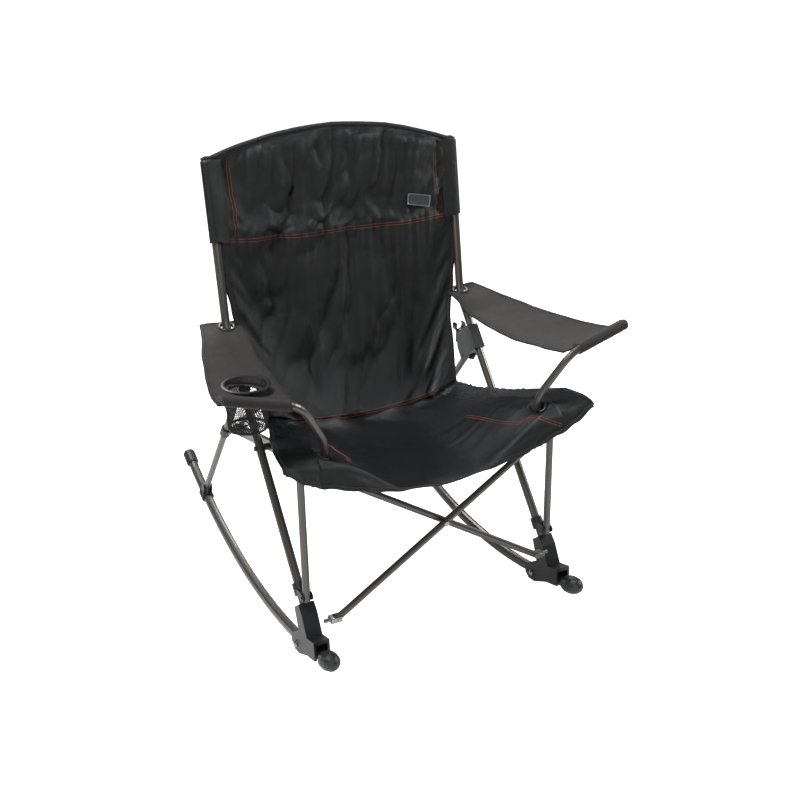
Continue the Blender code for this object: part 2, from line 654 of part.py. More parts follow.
BACK_INSET = [(0.412, 0.052), (0.47, 0.049), (0.54, 0.043), (0.64, 0.029), (0.72, POST_R + BACK_MARGIN)]
SEAM_Y = 0.072
SEAM_Z = 0.384
SEAT_FRONT_Y = -0.302


def back_point(u, v):
    """Back of the sling: u across from -1 to 1, v from the seam (0) to the top edge (1)."""
    edge_z = POST_TOP[1] + 0.020
    z_side = 0.412 + (edge_z - 0.412) * v
    z_mid = SEAM_Z + 0.004 + (edge_z + BACK_CROWN - SEAM_Z - 0.004) * v
    z = z_side + (z_mid - z_side) * (1 - u * u)
    half = SIDE_X - linear(z_side, BACK_INSET)
    side_y = linear(z_side, [(0.412, SEAM_Y), (0.50, 0.104), (0.60, post_y(0.60)), (edge_z, post_y(edge_z))])
    sags = [(0.412, 0.004), (0.50, 0.026), (0.62, 0.032), (edge_z - 0.168, 0.012), (edge_z, 0.004)]
    sag = linear(z_side, sags)
    return Vector((half * u, side_y + sag * (1 - u * u), z))


SEAT_WIDER = [(SEAT_FRONT_Y, 0.055), (-0.24, 0.043), (-0.19, 0.027), (-0.118, 0.005), (-0.04, -0.023),
              (0.0, -0.039), (SEAM_Y, -0.052)]  # seat's edge outside the side frame's centre plane


def seat_point(u, y):
    """Seat of the sling: u across from -1 to 1."""
    half = SIDE_X + linear(y, SEAT_WIDER)
    x = half * u
    middle = linear(y, [(SEAT_FRONT_Y, 0.396), (-0.20, 0.387), (-0.08, 0.380), (SEAM_Y, SEAM_Z)])
    rail = linear(y, [(SEAT_FRONT_Y, HUB_TOP + 0.008), (-0.232, HUB_TOP + 0.006), (-0.10, 0.438), (0.0, 0.418),
                      (SEAM_Y, 0.410)])
    inside = SIDE_X - linear(y, [(-0.23, 0.069), (SEAM_Y, 0.095)])
    z = eased(abs(x), [(0.09, middle), (inside, rail)])
    flap = max(abs(x) - SIDE_X + 0.033, 0.0)
    return Vector((x, y, z + flap * 0.10))


def build_sling():
    across = [-1 + 2 * k / 14 for k in range(15)]
    ups = [k / 14 for k in range(15)]
    rows = [[back_point(u, v) for u in across] for v in ups]
    back = grid_solid(rows, SLING_THICK)
    node("sling_back", back, cloth(), back_point(0, 0))
    lines = [SEAM_Y - 0.0012, 0.035, 0.0, -0.04, -0.08, -0.118, -0.155, -0.19, -0.215, -0.24, -0.27]
    lines.append(SEAT_FRONT_Y)
    spans = [0, 0.12, 0.27, 0.42, 0.54, 0.66, 0.76, 0.88, 1.0]
    spans = [-t for t in spans[:0:-1]] + spans
    rows = [[seat_point(u, y) for u in spans] for y in lines]
    seat = grid_solid(rows, SLING_THICK)
    holes = []
    for s in (-1, 1):
        path = arm_path(s)
        step = path[1] - path[0]
        holes.append(rod(path[0] + step * 0.2, path[1] + step * 0.5, LEG_R + 0.0065, 14))
    node("sling_seat", cut(seat, *holes), cloth(), seat_point(0, -0.10))
    spot = back_point(0.70, 0.735) + Vector((0, -0.0012, 0))
    tangent = (back_point(0.70, 0.80) - back_point(0.70, 0.67)).normalized()
    along = (back_point(0.78, 0.735) - back_point(0.62, 0.735)).normalized()
    facing = along.cross(tangent).normalized()
    frame = Matrix((along, tangent, facing)).transposed()
    bm = bmesh.new()
    bmesh.ops.create_cube(bm, size=1.0)
    bmesh.ops.scale(bm, vec=(0.056, 0.026, 0.0022), verts=bm.verts)
    bmesh.ops.bevel(bm, geom=[e for e in bm.edges if abs(e.verts[0].co.z - e.verts[1].co.z) > 0.001],
                    offset=0.004, segments=3, affect="EDGES")
    bmesh.ops.rotate(bm, cent=(0, 0, 0), matrix=frame, verts=bm.verts)
    bmesh.ops.translate(bm, vec=spot + facing * 0.0030, verts=bm.verts)
    node("badge_plate", to_mesh(bm), material("badge_metal", (0.21, 0.215, 0.22), 0.4, 0.7), spot)


# Armrest edges: y, x outside the side frame's centre plane, z
REST_INNER = [(-0.270, 0.009, 0.5905), (-0.20, 0.0, 0.580), (-0.10, -0.014, 0.573), (0.05, -0.025, 0.583),
              (0.10, -0.029, 0.604), (0.168, -0.032, 0.617)]
REST_OUTER = [(-0.270, 0.157, 0.6185), (-0.19, 0.145, 0.604), (-0.096, 0.123, 0.600), (-0.01, 0.101, 0.603),
              (0.10, 0.067, 0.612), (0.168, 0.049, 0.620)]


def rest_point(s, u, y):
    """Armrest cloth: u from the inner edge (0) to the outer edge (1)."""
    xi = SIDE_X + linear(y, [(row[0], row[1]) for row in REST_INNER])
    zi = linear(y, [(row[0], row[2]) for row in REST_INNER])
    xo = SIDE_X + linear(y, [(row[0], row[1]) for row in REST_OUTER])
    zo = linear(y, [(row[0], row[2]) for row in REST_OUTER])
    return Vector((s * (xi + (xo - xi) * u), y, zi + (zo - zi) * u))


def build_armrest(s, tag):
    lines = [-0.270, -0.24, -0.195, -0.15, -0.11, -0.05, 0.02, 0.06, 0.10, 0.135, 0.168]
    spans = [k / 6 for k in range(7)]
    rows = [[rest_point(s, u, y) for u in spans] for y in lines]
    panel = grid_solid(rows if s < 0 else rows[::-1], -ARMREST_THICK)
    path = arm_path(s)
    run = (path[-1] - path[-2]).normalized()
    start = path[-2] + run * 0.020
    end = path[-1] + run * 0.004
    sleeve = rod(start, end, LEG_R + 0.0042, 14)
    bore = rod(start - run * 0.026, path[-1] + run * 0.002, (LEG_R + GAP) / math.cos(math.pi / 14), 14)
    tongue = []
    for u in (0.10, 0.96):
        near = rest_point(s, u, -0.262)
        far_t = (abs(near.x) - abs(start.x)) / (abs(end.x) - abs(start.x))
        tongue.append((near, start + (end - start) * min(max(far_t, 0.02), 0.98)))
    bm = bmesh.new()
    corners = []
    for near, far in tongue:
        for point in (near, far):
            for dz in (-0.0014, 0.0014):
                centre_z = point.z - (0.0020 if point is near else 0.0)
                corners.append(bm.verts.new((point.x, point.y, centre_z + dz)))
    bmesh.ops.convex_hull(bm, input=corners)
    strip = to_mesh(bm)
    body = joined(panel, sleeve, strip)
    hole_at, up = armrest_eye(s)
    cuts = [bore, rod(hole_at - up * 0.04, hole_at + up * 0.04, POST_R + 0.0079, 16)]
    if s < 0:
        cuts.append(rod((*CUP_CENTRE, 0.55), (*CUP_CENTRE, 0.66), CUP_R + 0.0080, 24))
    node("armrest_" + tag, cut(body, *cuts), cloth(), start)
    bore = POST_R + 0.0051
    profile = [(-0.0042, bore), (-0.0042, bore + 0.0017), (0.0010, bore + 0.0017), (0.0010, bore + 0.0060)]
    profile += [(0.0024, bore + 0.0054), (0.0032, bore + 0.0029), (0.0028, bore)]
    node("grommet_" + tag, lathe(hole_at, up, profile, 18), plated(), hole_at)


def armrest_eye(s):
    """Point and upward normal of the armrest cloth where the back post passes through it."""
    y = post_y(0.613)
    inner = rest_point(s, 0, y)
    outer = rest_point(s, 1, y)
    u = (SIDE_X - abs(inner.x)) / (abs(outer.x) - abs(inner.x))
    point = rest_point(s, u, post_y(rest_point(s, u, y).z))
    along = rest_point(s, u, point.y + 0.015) - rest_point(s, u, point.y - 0.015)
    up = (outer - inner).cross(along).normalized()
    return point, up if up.z > 0 else -up


def build_cup():
    spot = rest_point(-1, 0.60, CUP_CENTRE[1]).z
    base = Vector((CUP_CENTRE[0], CUP_CENTRE[1], spot))
    top = 0.0050
    profile = [(-0.012, CUP_R - 0.0012), (-0.012, CUP_R + 0.0008), (top, CUP_R + 0.0008), (top, CUP_R + 0.0065)]
    profile += [(top + 0.0018, CUP_R + 0.0060), (top + 0.0024, CUP_R + 0.0010), (top + 0.0018, CUP_R - 0.0012)]
    node("cup_ring", lathe(base, (0, 0, 1), profile, 32), plated(), base)
    rim = -0.0115
    wall = CUP_WALL
    outer_top = CUP_R + 0.0014 + wall
    low = CUP_R - 0.006
    profile = [(-CUP_DEEP, 0), (-CUP_DEEP, low), (-0.030, CUP_R - 0.0008 + wall), (rim, outer_top)]
    profile += [(rim, outer_top - wall), (-0.030, CUP_R - 0.0008)]
    profile += [(-CUP_DEEP + wall, low - wall), (-CUP_DEEP + wall, 0)]
    node("mesh_cup", lathe(base, (0, 0, 1), profile, 32), binding(), base)


def build_side(s, tag):
    build_rocker(s, tag)
    build_foot(s, tag)
    build_post(s, tag)
    build_front_leg(s, tag)
    build_hub(s, tag)
    build_arm(s, tag)
    build_rail(s, tag)
    build_rear_leg(s, tag)
    build_lock(s, tag)
    build_armrest(s, tag)


def build_centre():
    for a, b, square, side in build_braces("front_brace", BRACE_FOOT, BRACE_TOP, 0):
        tag, other = ("L", "R") if side < 0 else ("R", "L")
        build_end_link("front_link_" + tag, a, square, SIDE_X - FOOT_HALF - GAP, side)
        build_end_pin("front_brace_pin_" + other, b, square)
    for a, b, square, side in build_braces("rear_brace", REAR_BRACE_FOOT, REAR_BRACE_TOP, 1):
        tag, other = ("L", "R") if side < 0 else ("R", "L")
        build_end_pin("rear_brace_foot_pin_" + tag, a, square)
        build_end_pin("rear_brace_top_pin_" + other, b, square)
    build_sling()
    build_cup()


def main():
    for obj in list(bpy.data.objects):
        bpy.data.objects.remove(obj)
    for s, tag in ((-1, "L"), (1, "R")):
        build_side(s, tag)
    build_centre()


main()
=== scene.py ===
"""Camp rocking chair: finished fabric, hardware finishes, stage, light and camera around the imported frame."""

import math

import bmesh
import bpy
import numpy as np
from mathutils import Matrix, Vector, noise


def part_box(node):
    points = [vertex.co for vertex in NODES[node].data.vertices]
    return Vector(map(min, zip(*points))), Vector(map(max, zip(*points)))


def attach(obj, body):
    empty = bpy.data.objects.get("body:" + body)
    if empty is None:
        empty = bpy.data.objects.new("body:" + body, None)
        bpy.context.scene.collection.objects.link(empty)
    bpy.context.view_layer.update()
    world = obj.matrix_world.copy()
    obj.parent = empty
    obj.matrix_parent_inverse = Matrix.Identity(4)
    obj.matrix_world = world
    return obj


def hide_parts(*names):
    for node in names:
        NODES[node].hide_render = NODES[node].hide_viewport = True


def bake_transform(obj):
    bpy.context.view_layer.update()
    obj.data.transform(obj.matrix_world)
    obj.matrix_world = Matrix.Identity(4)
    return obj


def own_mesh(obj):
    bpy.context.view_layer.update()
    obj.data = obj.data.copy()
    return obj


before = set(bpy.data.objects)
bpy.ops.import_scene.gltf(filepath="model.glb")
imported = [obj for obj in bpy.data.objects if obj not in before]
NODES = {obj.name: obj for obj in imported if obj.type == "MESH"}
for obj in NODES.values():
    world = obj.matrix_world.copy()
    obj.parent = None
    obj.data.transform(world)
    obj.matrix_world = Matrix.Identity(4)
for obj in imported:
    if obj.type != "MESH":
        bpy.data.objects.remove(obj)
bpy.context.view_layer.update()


# ---------------------------------------------------------------- places taken from the frame
def corner(node, end, axis):
    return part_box(node)[end][axis]


SIDE_X = (corner("back_post_R", 0, 0) + corner("back_post_R", 1, 0)) / 2
POST_R = (corner("back_post_R", 1, 0) - corner("back_post_R", 0, 0)) / 2
POST_TOP_Z = corner("back_post_R", 1, 2)
POST_TOP_Y = corner("back_post_R", 1, 1) - POST_R
SEAM_Z = corner("sling_back", 0, 2)
TOP_Z = corner("sling_back", 1, 2)
SEAT_FRONT_Y = corner("sling_seat", 0, 1)
SEAM_Y = corner("sling_seat", 1, 1)
CUP = [(a + b) / 2 for a, b in zip(*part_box("cup_ring"))]
CUP_FLANGE = 0.0065  # reach of the cup ring's flange past its wall
CUP_R = (corner("cup_ring", 1, 0) - corner("cup_ring", 0, 0)) / 2 - CUP_FLANGE
CORNER_Z = 0.412  # height of the lower corners of the back
PLUG_HIGH = 0.004  # part of a post's height that is its plug
CLOTH_RISE = 0.020  # cloth above the posts
SLEEVE_OUT = 0.0030  # sleeve outside the post
BACK_THICK = 0.0016
SEAT_THICK = 0.0018
PADDING = 0.0085  # extra wall where the headrest is padded
SETTLE_FRAMES = 14
CRUMPLE_KEPT = 0.55  # share of the drawn creases laid over the settled cloth
POST_LEAN = 0.169  # rearward run of the upper post for each unit of height
HEADREST_Z = 0.790  # height of the seam below the headrest
CLOTH_HALF = SIDE_X - POST_R - 0.002
WELD = 0.00002  # vertices nearer than this are one


def smooth(a, b, value):
    t = min(max((value - a) / (b - a), 0.0), 1.0)
    return t * t * (3 - 2 * t)


def linear(value, table, ease=False):
    """Value of a table of (place, value) rows, straight or eased between the rows."""
    if value <= table[0][0]:
        return table[0][1]
    for (k0, v0), (k1, v1) in zip(table, table[1:]):
        if value <= k1 and ease:
            return v0 + (v1 - v0) * smooth(k0, k1, value)
        if value <= k1:
            return v0 + (v1 - v0) * (value - k0) / (k1 - k0)
    return table[-1][1]


def eased(value, table):
    return linear(value, table, ease=True)


def post_y(z):
    """Y of the back post's centreline above its bend."""
    return POST_TOP_Y - (POST_TOP_Z - z) * POST_LEAN


# ---------------------------------------------------------------- materials
def new_group(name, inputs, outputs):
    group = bpy.data.node_groups.new(name, "ShaderNodeTree")
    for label, kind, value in inputs:
        socket = group.interface.new_socket(label, in_out="INPUT", socket_type=kind)
        if value is not None:
            socket.default_value = value
    for label, kind in outputs:
        group.interface.new_socket(label, in_out="OUTPUT", socket_type=kind)
    return group, group.nodes.new("NodeGroupInput"), group.nodes.new("NodeGroupOutput")


def math_node(tree, operation, a, b=None, c=None):
    made = tree.nodes.new("ShaderNodeMath")
    made.operation = operation
    for k, value in enumerate((a, b, c)):
        if value is None:
            continue
        if isinstance(value, (int, float)):
            made.inputs[k].default_value = value
        else:
            tree.links.new(value, made.inputs[k])
    return made.outputs[0]


def noise_node(tree, vector, scale, detail=4.0, rough=0.5, distortion=0.0):
    made = tree.nodes.new("ShaderNodeTexNoise")
    tree.links.new(vector, made.inputs["Vector"])
    values = {"Scale": scale, "Detail": detail, "Roughness": rough, "Distortion": distortion}
    for label, value in values.items():
        if isinstance(value, (int, float)):
            made.inputs[label].default_value = value
        else:
            tree.links.new(value, made.inputs[label])
    return made.outputs["Fac"]


def ramp_node(tree, factor, low, high):
    made = tree.nodes.new("ShaderNodeMapRange")
    made.interpolation_type = "SMOOTHSTEP"
    tree.links.new(factor, made.inputs["Value"])
    made.inputs["From Min"].default_value = low
    made.inputs["From Max"].default_value = high
    return made.outputs["Result"]


def mix_colour(tree, factor, one, two):
    made = tree.nodes.new("ShaderNodeMix")
    made.data_type = "RGBA"
    tree.links.new(factor, made.inputs[0])
    for socket, value in ((made.inputs[6], one), (made.inputs[7], two)):
        if hasattr(value, "links"):
            tree.links.new(value, socket)
        else:
            socket.default_value = (*value, 1.0)
    return made.outputs[2]


def weave_group():
    """Plain weave from a UV map in metres: height of the yarns and their shade."""
    group, start, end = new_group(
        "plain_weave",
        [("UV", "NodeSocketVector", None), ("Yarns per metre", "NodeSocketFloat", 1500.0)],
        [("Height", "NodeSocketFloat"), ("Shade", "NodeSocketFloat")],
    )
    split = group.nodes.new("ShaderNodeSeparateXYZ")
    group.links.new(start.outputs["UV"], split.inputs[0])
    waves = []
    for axis in (0, 1):
        turns = math_node(group, "MULTIPLY", split.outputs[axis], start.outputs["Yarns per metre"])
        waves.append(math_node(group, "MULTIPLY", turns, math.pi))
    warp, weft = (math_node(group, "SINE", wave) for wave in waves)
    over = math_node(group, "GREATER_THAN", math_node(group, "MULTIPLY", warp, weft), 0.0)
    under = math_node(group, "SUBTRACT", 1.0, over)
    warp_high = math_node(group, "MULTIPLY", math_node(group, "ABSOLUTE", warp), over)
    weft_high = math_node(group, "MULTIPLY", math_node(group, "ABSOLUTE", weft), under)
    height = math_node(group, "ADD", warp_high, weft_high)
    group.links.new(height, end.inputs["Height"])
    slub = group.nodes.new("ShaderNodeMapping")
    slub.inputs["Scale"].default_value = (900.0, 26.0, 1.0)
    group.links.new(start.outputs["UV"], slub.inputs["Vector"])
    group.links.new(noise_node(group, slub.outputs[0], 1.0, 3.0), end.inputs["Shade"])
    return group


def grain_group():
    """Fine grain, soft blotches and scattered scuffs from Object coordinates."""
    group, start, end = new_group(
        "surface_grain",
        [
            ("Vector", "NodeSocketVector", None),
            ("Grain", "NodeSocketFloat", 900.0),
            ("Blotch", "NodeSocketFloat", 14.0),
            ("Scuff", "NodeSocketFloat", 60.0),
        ],
        [("Fine", "NodeSocketFloat"), ("Blotches", "NodeSocketFloat"), ("Scuffs", "NodeSocketFloat")],
    )
    vector = start.outputs["Vector"]
    group.links.new(noise_node(group, vector, start.outputs["Grain"], 3.0, 0.6), end.inputs["Fine"])
    group.links.new(noise_node(group, vector, start.outputs["Blotch"], 5.0, 0.55), end.inputs["Blotches"])
    scuff = noise_node(group, vector, start.outputs["Scuff"], 6.0, 0.7, 1.5)
    group.links.new(ramp_node(group, scuff, 0.60, 0.74), end.inputs["Scuffs"])
    return group


WEAVE = weave_group()
GRAIN = grain_group()


def shader_of(name):
    made = bpy.data.materials.new(name)
    made.use_nodes = True
    return made, made.node_tree, made.node_tree.nodes["Principled BSDF"]


def place_group(tree, group, **values):
    made = tree.nodes.new("ShaderNodeGroup")
    made.node_tree = group
    for label, value in values.items():
        made.inputs[label.replace("_", " ")].default_value = value
    return made


def bump(tree, height, strength, distance, before=None):
    made = tree.nodes.new("ShaderNodeBump")
    made.inputs["Strength"].default_value = strength
    made.inputs["Distance"].default_value = distance
    tree.links.new(height, made.inputs["Height"])
    if before:
        tree.links.new(before, made.inputs["Normal"])
    return made.outputs["Normal"]


def hard_finish(name, base, light, rough, rough_range, metal,
                grain=900.0, bump_by=0.00003, scuffs=0.5, coat=0.0):
    """Painted, plated or moulded surface with grain, blotches and small scuffs."""
    made, tree, shader = shader_of(name)
    place = tree.nodes.new("ShaderNodeTexCoord")
    wear = place_group(tree, GRAIN, Grain=grain)
    tree.links.new(place.outputs["Object"], wear.inputs["Vector"])
    worn = math_node(tree, "MULTIPLY", wear.outputs["Scuffs"], scuffs)
    shade = mix_colour(tree, math_node(tree, "MULTIPLY", wear.outputs["Blotches"], 0.55), base, light)
    scuffed = tuple(min(c * 1.9 + 0.02, 1) for c in light)
    tree.links.new(mix_colour(tree, worn, shade, scuffed), shader.inputs["Base Color"])
    spread = math_node(tree, "MULTIPLY_ADD", wear.outputs["Fine"], rough_range, rough - rough_range / 2)
    tree.links.new(math_node(tree, "MULTIPLY_ADD", worn, 0.12, spread), shader.inputs["Roughness"])
    tree.links.new(bump(tree, wear.outputs["Fine"], 0.5, bump_by), shader.inputs["Normal"])
    shader.inputs["Metallic"].default_value = metal
    shader.inputs["Coat Weight"].default_value = coat
    return made


def cloth_finish(name, base, light, rough, yarns, sheen=0.35, bump_by=0.00022):
    """Woven polyester: yarns, slubs, faint pilling and a soft sheen, with painted light on the yarn crests and
    painted shade between the yarns.
    """
    made, tree, shader = shader_of(name)
    uv = tree.nodes.new("ShaderNodeUVMap")
    uv.uv_map = "cloth"
    weave = place_group(tree, WEAVE, Yarns_per_metre=yarns)
    tree.links.new(uv.outputs["UV"], weave.inputs["UV"])
    wear = place_group(tree, GRAIN, Grain=160.0, Blotch=7.0, Scuff=34.0)
    tree.links.new(uv.outputs["UV"], wear.inputs["Vector"])
    tone_and_painted_yarn_light = math_node(tree, "MULTIPLY", wear.outputs["Blotches"], weave.outputs["Shade"])
    tone_and_painted_yarn_light = math_node(tree, "MULTIPLY", tone_and_painted_yarn_light, 1.1)
    # painted light and shade: the weave's height lightens the yarn crests and darkens the hollows between the
    # yarns
    tone_and_painted_yarn_light = math_node(tree, "MULTIPLY_ADD", weave.outputs["Height"], 0.35, tone_and_painted_yarn_light)
    shade = mix_colour(tree, tone_and_painted_yarn_light, base, light)
    dusty = math_node(tree, "MULTIPLY", wear.outputs["Scuffs"], 0.16)
    tree.links.new(mix_colour(tree, dusty, shade, tuple(c * 2.4 for c in light)), shader.inputs["Base Color"])
    spread = math_node(tree, "MULTIPLY_ADD", wear.outputs["Blotches"], 0.16, rough - 0.08)
    tree.links.new(spread, shader.inputs["Roughness"])
    soft = bump(tree, wear.outputs["Fine"], 0.35, 0.0006)
    tree.links.new(bump(tree, weave.outputs["Height"], 0.55, bump_by, soft), shader.inputs["Normal"])
    shader.inputs["Sheen Weight"].default_value = sheen
    shader.inputs["Specular IOR Level"].default_value = 0.36
    shader.inputs["Sheen Roughness"].default_value = 0.45
    shader.inputs["Sheen Tint"].default_value = (0.5, 0.55, 0.62, 1.0)
    return made


TUBE_PAINT = hard_finish(
    "satin_grey_tube_paint", (0.085, 0.079, 0.072), (0.135, 0.127, 0.117), 0.34, 0.12, 0.75, coat=0.15,
)
NYLON = hard_finish(
    "black_moulded_nylon", (0.007, 0.0075, 0.0085), (0.015, 0.016, 0.018), 0.46, 0.16, 0.0,
    700.0, 0.00006, 0.2,
)
DARK_STEEL = hard_finish("dark_satin_steel", (0.045, 0.047, 0.050), (0.085, 0.088, 0.092), 0.34, 0.12, 0.7)
PLATED = hard_finish("plated_steel", (0.30, 0.30, 0.29), (0.46, 0.46, 0.45), 0.30, 0.12, 0.95)
BADGE_FACE = hard_finish("badge_satin_metal", (0.10, 0.105, 0.11), (0.20, 0.205, 0.21), 0.34, 0.10, 0.8)
BADGE_RIM = hard_finish("badge_bright_rim", (0.42, 0.43, 0.44), (0.60, 0.61, 0.62), 0.26, 0.08, 0.9)
SLING_CLOTH = cloth_finish(
    "black_sling_polyester", (0.0010, 0.0012, 0.0015), (0.0042, 0.0050, 0.0064), 0.42, 1450.0, 0.02,
)
ARM_CLOTH = cloth_finish(
    "black_armrest_polyester", (0.0095, 0.0068, 0.0060), (0.024, 0.0185, 0.0165), 0.74, 1300.0, 0.06,
)
TAPE = cloth_finish(
    "black_binding_tape", (0.0020, 0.0022, 0.0025), (0.007, 0.0075, 0.008), 0.62, 2400.0, 0.08,
)
NET = cloth_finish("black_cup_net", (0.004, 0.004, 0.0045), (0.010, 0.010, 0.011), 0.7, 3000.0, 0.05)
THREAD = cloth_finish(
    "rust_red_thread", (0.36, 0.070, 0.032), (0.62, 0.150, 0.075), 0.6, 5200.0, 0.2, 0.00005,
)
DARK_THREAD = cloth_finish(
    "black_thread", (0.006, 0.006, 0.007), (0.03, 0.03, 0.033), 0.6, 5200.0, 0.2, 0.00005,
)


# ---------------------------------------------------------------- mesh helpers
def new_object(name, data):
    obj = bpy.data.objects.new(name, data)
    bpy.context.scene.collection.objects.link(obj)
    return obj


def finished_mesh(bm, name, turn_outward=True):
    if turn_outward:
        bmesh.ops.recalc_face_normals(bm, faces=bm.faces)
    mesh = bpy.data.meshes.new(name)
    bm.to_mesh(mesh)
    bm.free()
    return mesh


def uv_face(bm, corners, marks):
    """Adds a face with a UV for each of its corners."""
    layer = bm.loops.layers.uv["cloth"]
    for loop, mark in zip(bm.faces.new(corners).loops, marks):
        loop[layer].uv = mark


def skin_rings(bm, rings, uvs):
    """Joins each ring of vertices to the next. Rows of UVs have one more place, for the seam."""
    count = len(rings[0])
    for i in range(len(rings) - 1):
        for k in range(count):
            spots = ((i, k), (i, k + 1), (i + 1, k + 1), (i + 1, k))
            uv_face(bm, [rings[a][b % count] for a, b in spots], [uvs[a][b] for a, b in spots])


def welded(mesh, close_ends=False):
    """Joins the seam of a mesh, and closes its open ends where asked."""
    bm = bmesh.new()
    bm.from_mesh(mesh)
    bmesh.ops.remove_doubles(bm, verts=bm.verts, dist=WELD)
    if close_ends:
        bmesh.ops.holes_fill(bm, edges=[e for e in bm.edges if e.is_boundary])
    bmesh.ops.recalc_face_normals(bm, faces=bm.faces)
    bm.to_mesh(mesh)
    bm.free()
    return mesh


def add_piece(name, mesh, material, body, smooth_shade=True):
    mesh.name = name
    mesh.materials.clear()
    mesh.materials.append(material)
    if smooth_shade:
        mesh.shade_smooth()
    obj = new_object(name, mesh)
    if body:
        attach(obj, body)
    return obj


def grid_mesh(points, uvs):
    """A quad mesh from an array of points (rows, columns, 3), with a UV map in metres."""
    rows, columns = len(points), len(points[0])
    bm = bmesh.new()
    bm.loops.layers.uv.new("cloth")
    verts = [[bm.verts.new(points[i][j]) for j in range(columns)] for i in range(rows)]
    for i in range(rows - 1):
        for j in range(columns - 1):
            spots = ((i, j), (i, j + 1), (i + 1, j + 1), (i + 1, j))
            uv_face(bm, [verts[a][b] for a, b in spots], [uvs[a][b] for a, b in spots])
    return finished_mesh(bm, "grid", turn_outward=False)


def grid_normals(points):
    across = np.gradient(points, axis=1)
    along = np.gradient(points, axis=0)
    cross = np.cross(across, along)
    return cross / np.maximum(np.linalg.norm(cross, axis=2, keepdims=True), 1e-12)


def metres_uv(points):
    """UVs that follow the cloth's own lengths across and along."""
    steps = np.linalg.norm(np.diff(points, axis=1), axis=2)
    across = np.concatenate([np.zeros((len(points), 1)), np.cumsum(steps, axis=1)], axis=1)
    across -= across[:, across.shape[1] // 2][:, None]
    rises = np.linalg.norm(np.diff(points, axis=0), axis=2)
    along = np.concatenate([np.zeros((1, points.shape[1])), np.cumsum(rises, axis=0)], axis=0)
    return np.stack([across, along], axis=2)


def thick_sheet(points, thick, uvs=None):
    """A closed sheet: the points are its face, and its wall lies on the other side of the normals."""
    points = np.asarray(points, float)
    uvs = metres_uv(points) if uvs is None else uvs
    normals = grid_normals(points)
    wall = np.asarray(thick)
    behind = points - normals * (wall[..., None] if wall.ndim else wall)
    rows, columns = points.shape[:2]
    bm = bmesh.new()
    bm.loops.layers.uv.new("cloth")
    top = [[bm.verts.new(points[i, j]) for j in range(columns)] for i in range(rows)]
    low = [[bm.verts.new(behind[i, j]) for j in range(columns)] for i in range(rows)]

    def face(corners, spots):
        uv_face(bm, corners, [uvs[a, b] for a, b in spots])

    for i in range(rows - 1):
        for j in range(columns - 1):
            spots = ((i, j), (i, j + 1), (i + 1, j + 1), (i + 1, j))
            face([top[a][b] for a, b in spots], spots)
            face([low[a][b] for a, b in spots[::-1]], spots[::-1])
    rim = [(0, j) for j in range(columns)] + [(i, columns - 1) for i in range(1, rows)]
    rim += [(rows - 1, j) for j in range(columns - 2, -1, -1)] + [(i, 0) for i in range(rows - 2, 0, -1)]
    for one, two in zip(rim, rim[1:] + rim[:1]):
        wall = [top[two[0]][two[1]], top[one[0]][one[1]], low[one[0]][one[1]], low[two[0]][two[1]]]
        face(wall, (two, one, one, two))
    return finished_mesh(bm, "sheet")


def tube_along(path, radii, sides=12, squash_by=None):
    """A closed tube along points. radii is one value or one for each point; squash_by is (normals, share)."""
    path = np.asarray(path, float)
    count = len(path)
    radii = np.broadcast_to(np.asarray(radii, float), (count,))
    tangents = np.gradient(path, axis=0)
    tangents /= np.linalg.norm(tangents, axis=1, keepdims=True)
    start = np.array((0.0, 0.0, 1.0)) if abs(tangents[0][2]) < 0.8 else np.array((0.0, 1.0, 0.0))
    rings, side = [], start
    for k in range(count):
        if squash_by is not None:
            side = squash_by[0][k]
        side = side - tangents[k] * side.dot(tangents[k])
        side /= np.linalg.norm(side)
        other = np.cross(tangents[k], side)
        flat = squash_by[1] if squash_by is not None else 1.0
        turns = [2 * math.pi * s / sides for s in range(sides + 1)]
        rings.append([path[k] + radii[k] * (side * math.cos(t) * flat + other * math.sin(t)) for t in turns])
    rings = np.array(rings)
    lengths = np.concatenate([[0], np.cumsum(np.linalg.norm(np.diff(path, axis=0), axis=1))])
    uvs = [[(2 * math.pi * radii[k] * s / sides, lengths[k]) for s in range(sides + 1)] for k in range(count)]
    bm = bmesh.new()
    bm.loops.layers.uv.new("cloth")
    verts = [[bm.verts.new(rings[k][s]) for s in range(sides)] for k in range(count)]
    skin_rings(bm, verts, uvs)
    bm.faces.new(verts[0][::-1])
    bm.faces.new(verts[-1])
    return finished_mesh(bm, "tube")


def fbm(x, y, z=0.0, octaves=4):
    return noise.fractal(Vector((x, y, z)), 0.9, 2.1, octaves)


# ---------------------------------------------------------------- stitches
def begin_tree(name, sizes):
    """A geometry tree with the named sizes and a material as inputs."""
    tree = bpy.data.node_groups.new(name, "GeometryNodeTree")
    face = tree.interface
    face.new_socket("Geometry", in_out="INPUT", socket_type="NodeSocketGeometry")
    for label, value in sizes:
        face.new_socket(label, in_out="INPUT", socket_type="NodeSocketFloat").default_value = value
    face.new_socket("Material", in_out="INPUT", socket_type="NodeSocketMaterial")
    face.new_socket("Geometry", in_out="OUTPUT", socket_type="NodeSocketGeometry")
    return tree, tree.nodes.new("NodeGroupInput")


def end_tree(tree, start, geometry):
    """Ends a tree with real geometry in the tree's material."""
    real = tree.nodes.new("GeometryNodeRealizeInstances")
    paint = tree.nodes.new("GeometryNodeSetMaterial")
    end = tree.nodes.new("NodeGroupOutput")
    tree.links.new(geometry, real.inputs["Geometry"])
    tree.links.new(real.outputs["Geometry"], paint.inputs["Geometry"])
    tree.links.new(start.outputs["Material"], paint.inputs["Material"])
    tree.links.new(paint.outputs["Geometry"], end.inputs["Geometry"])


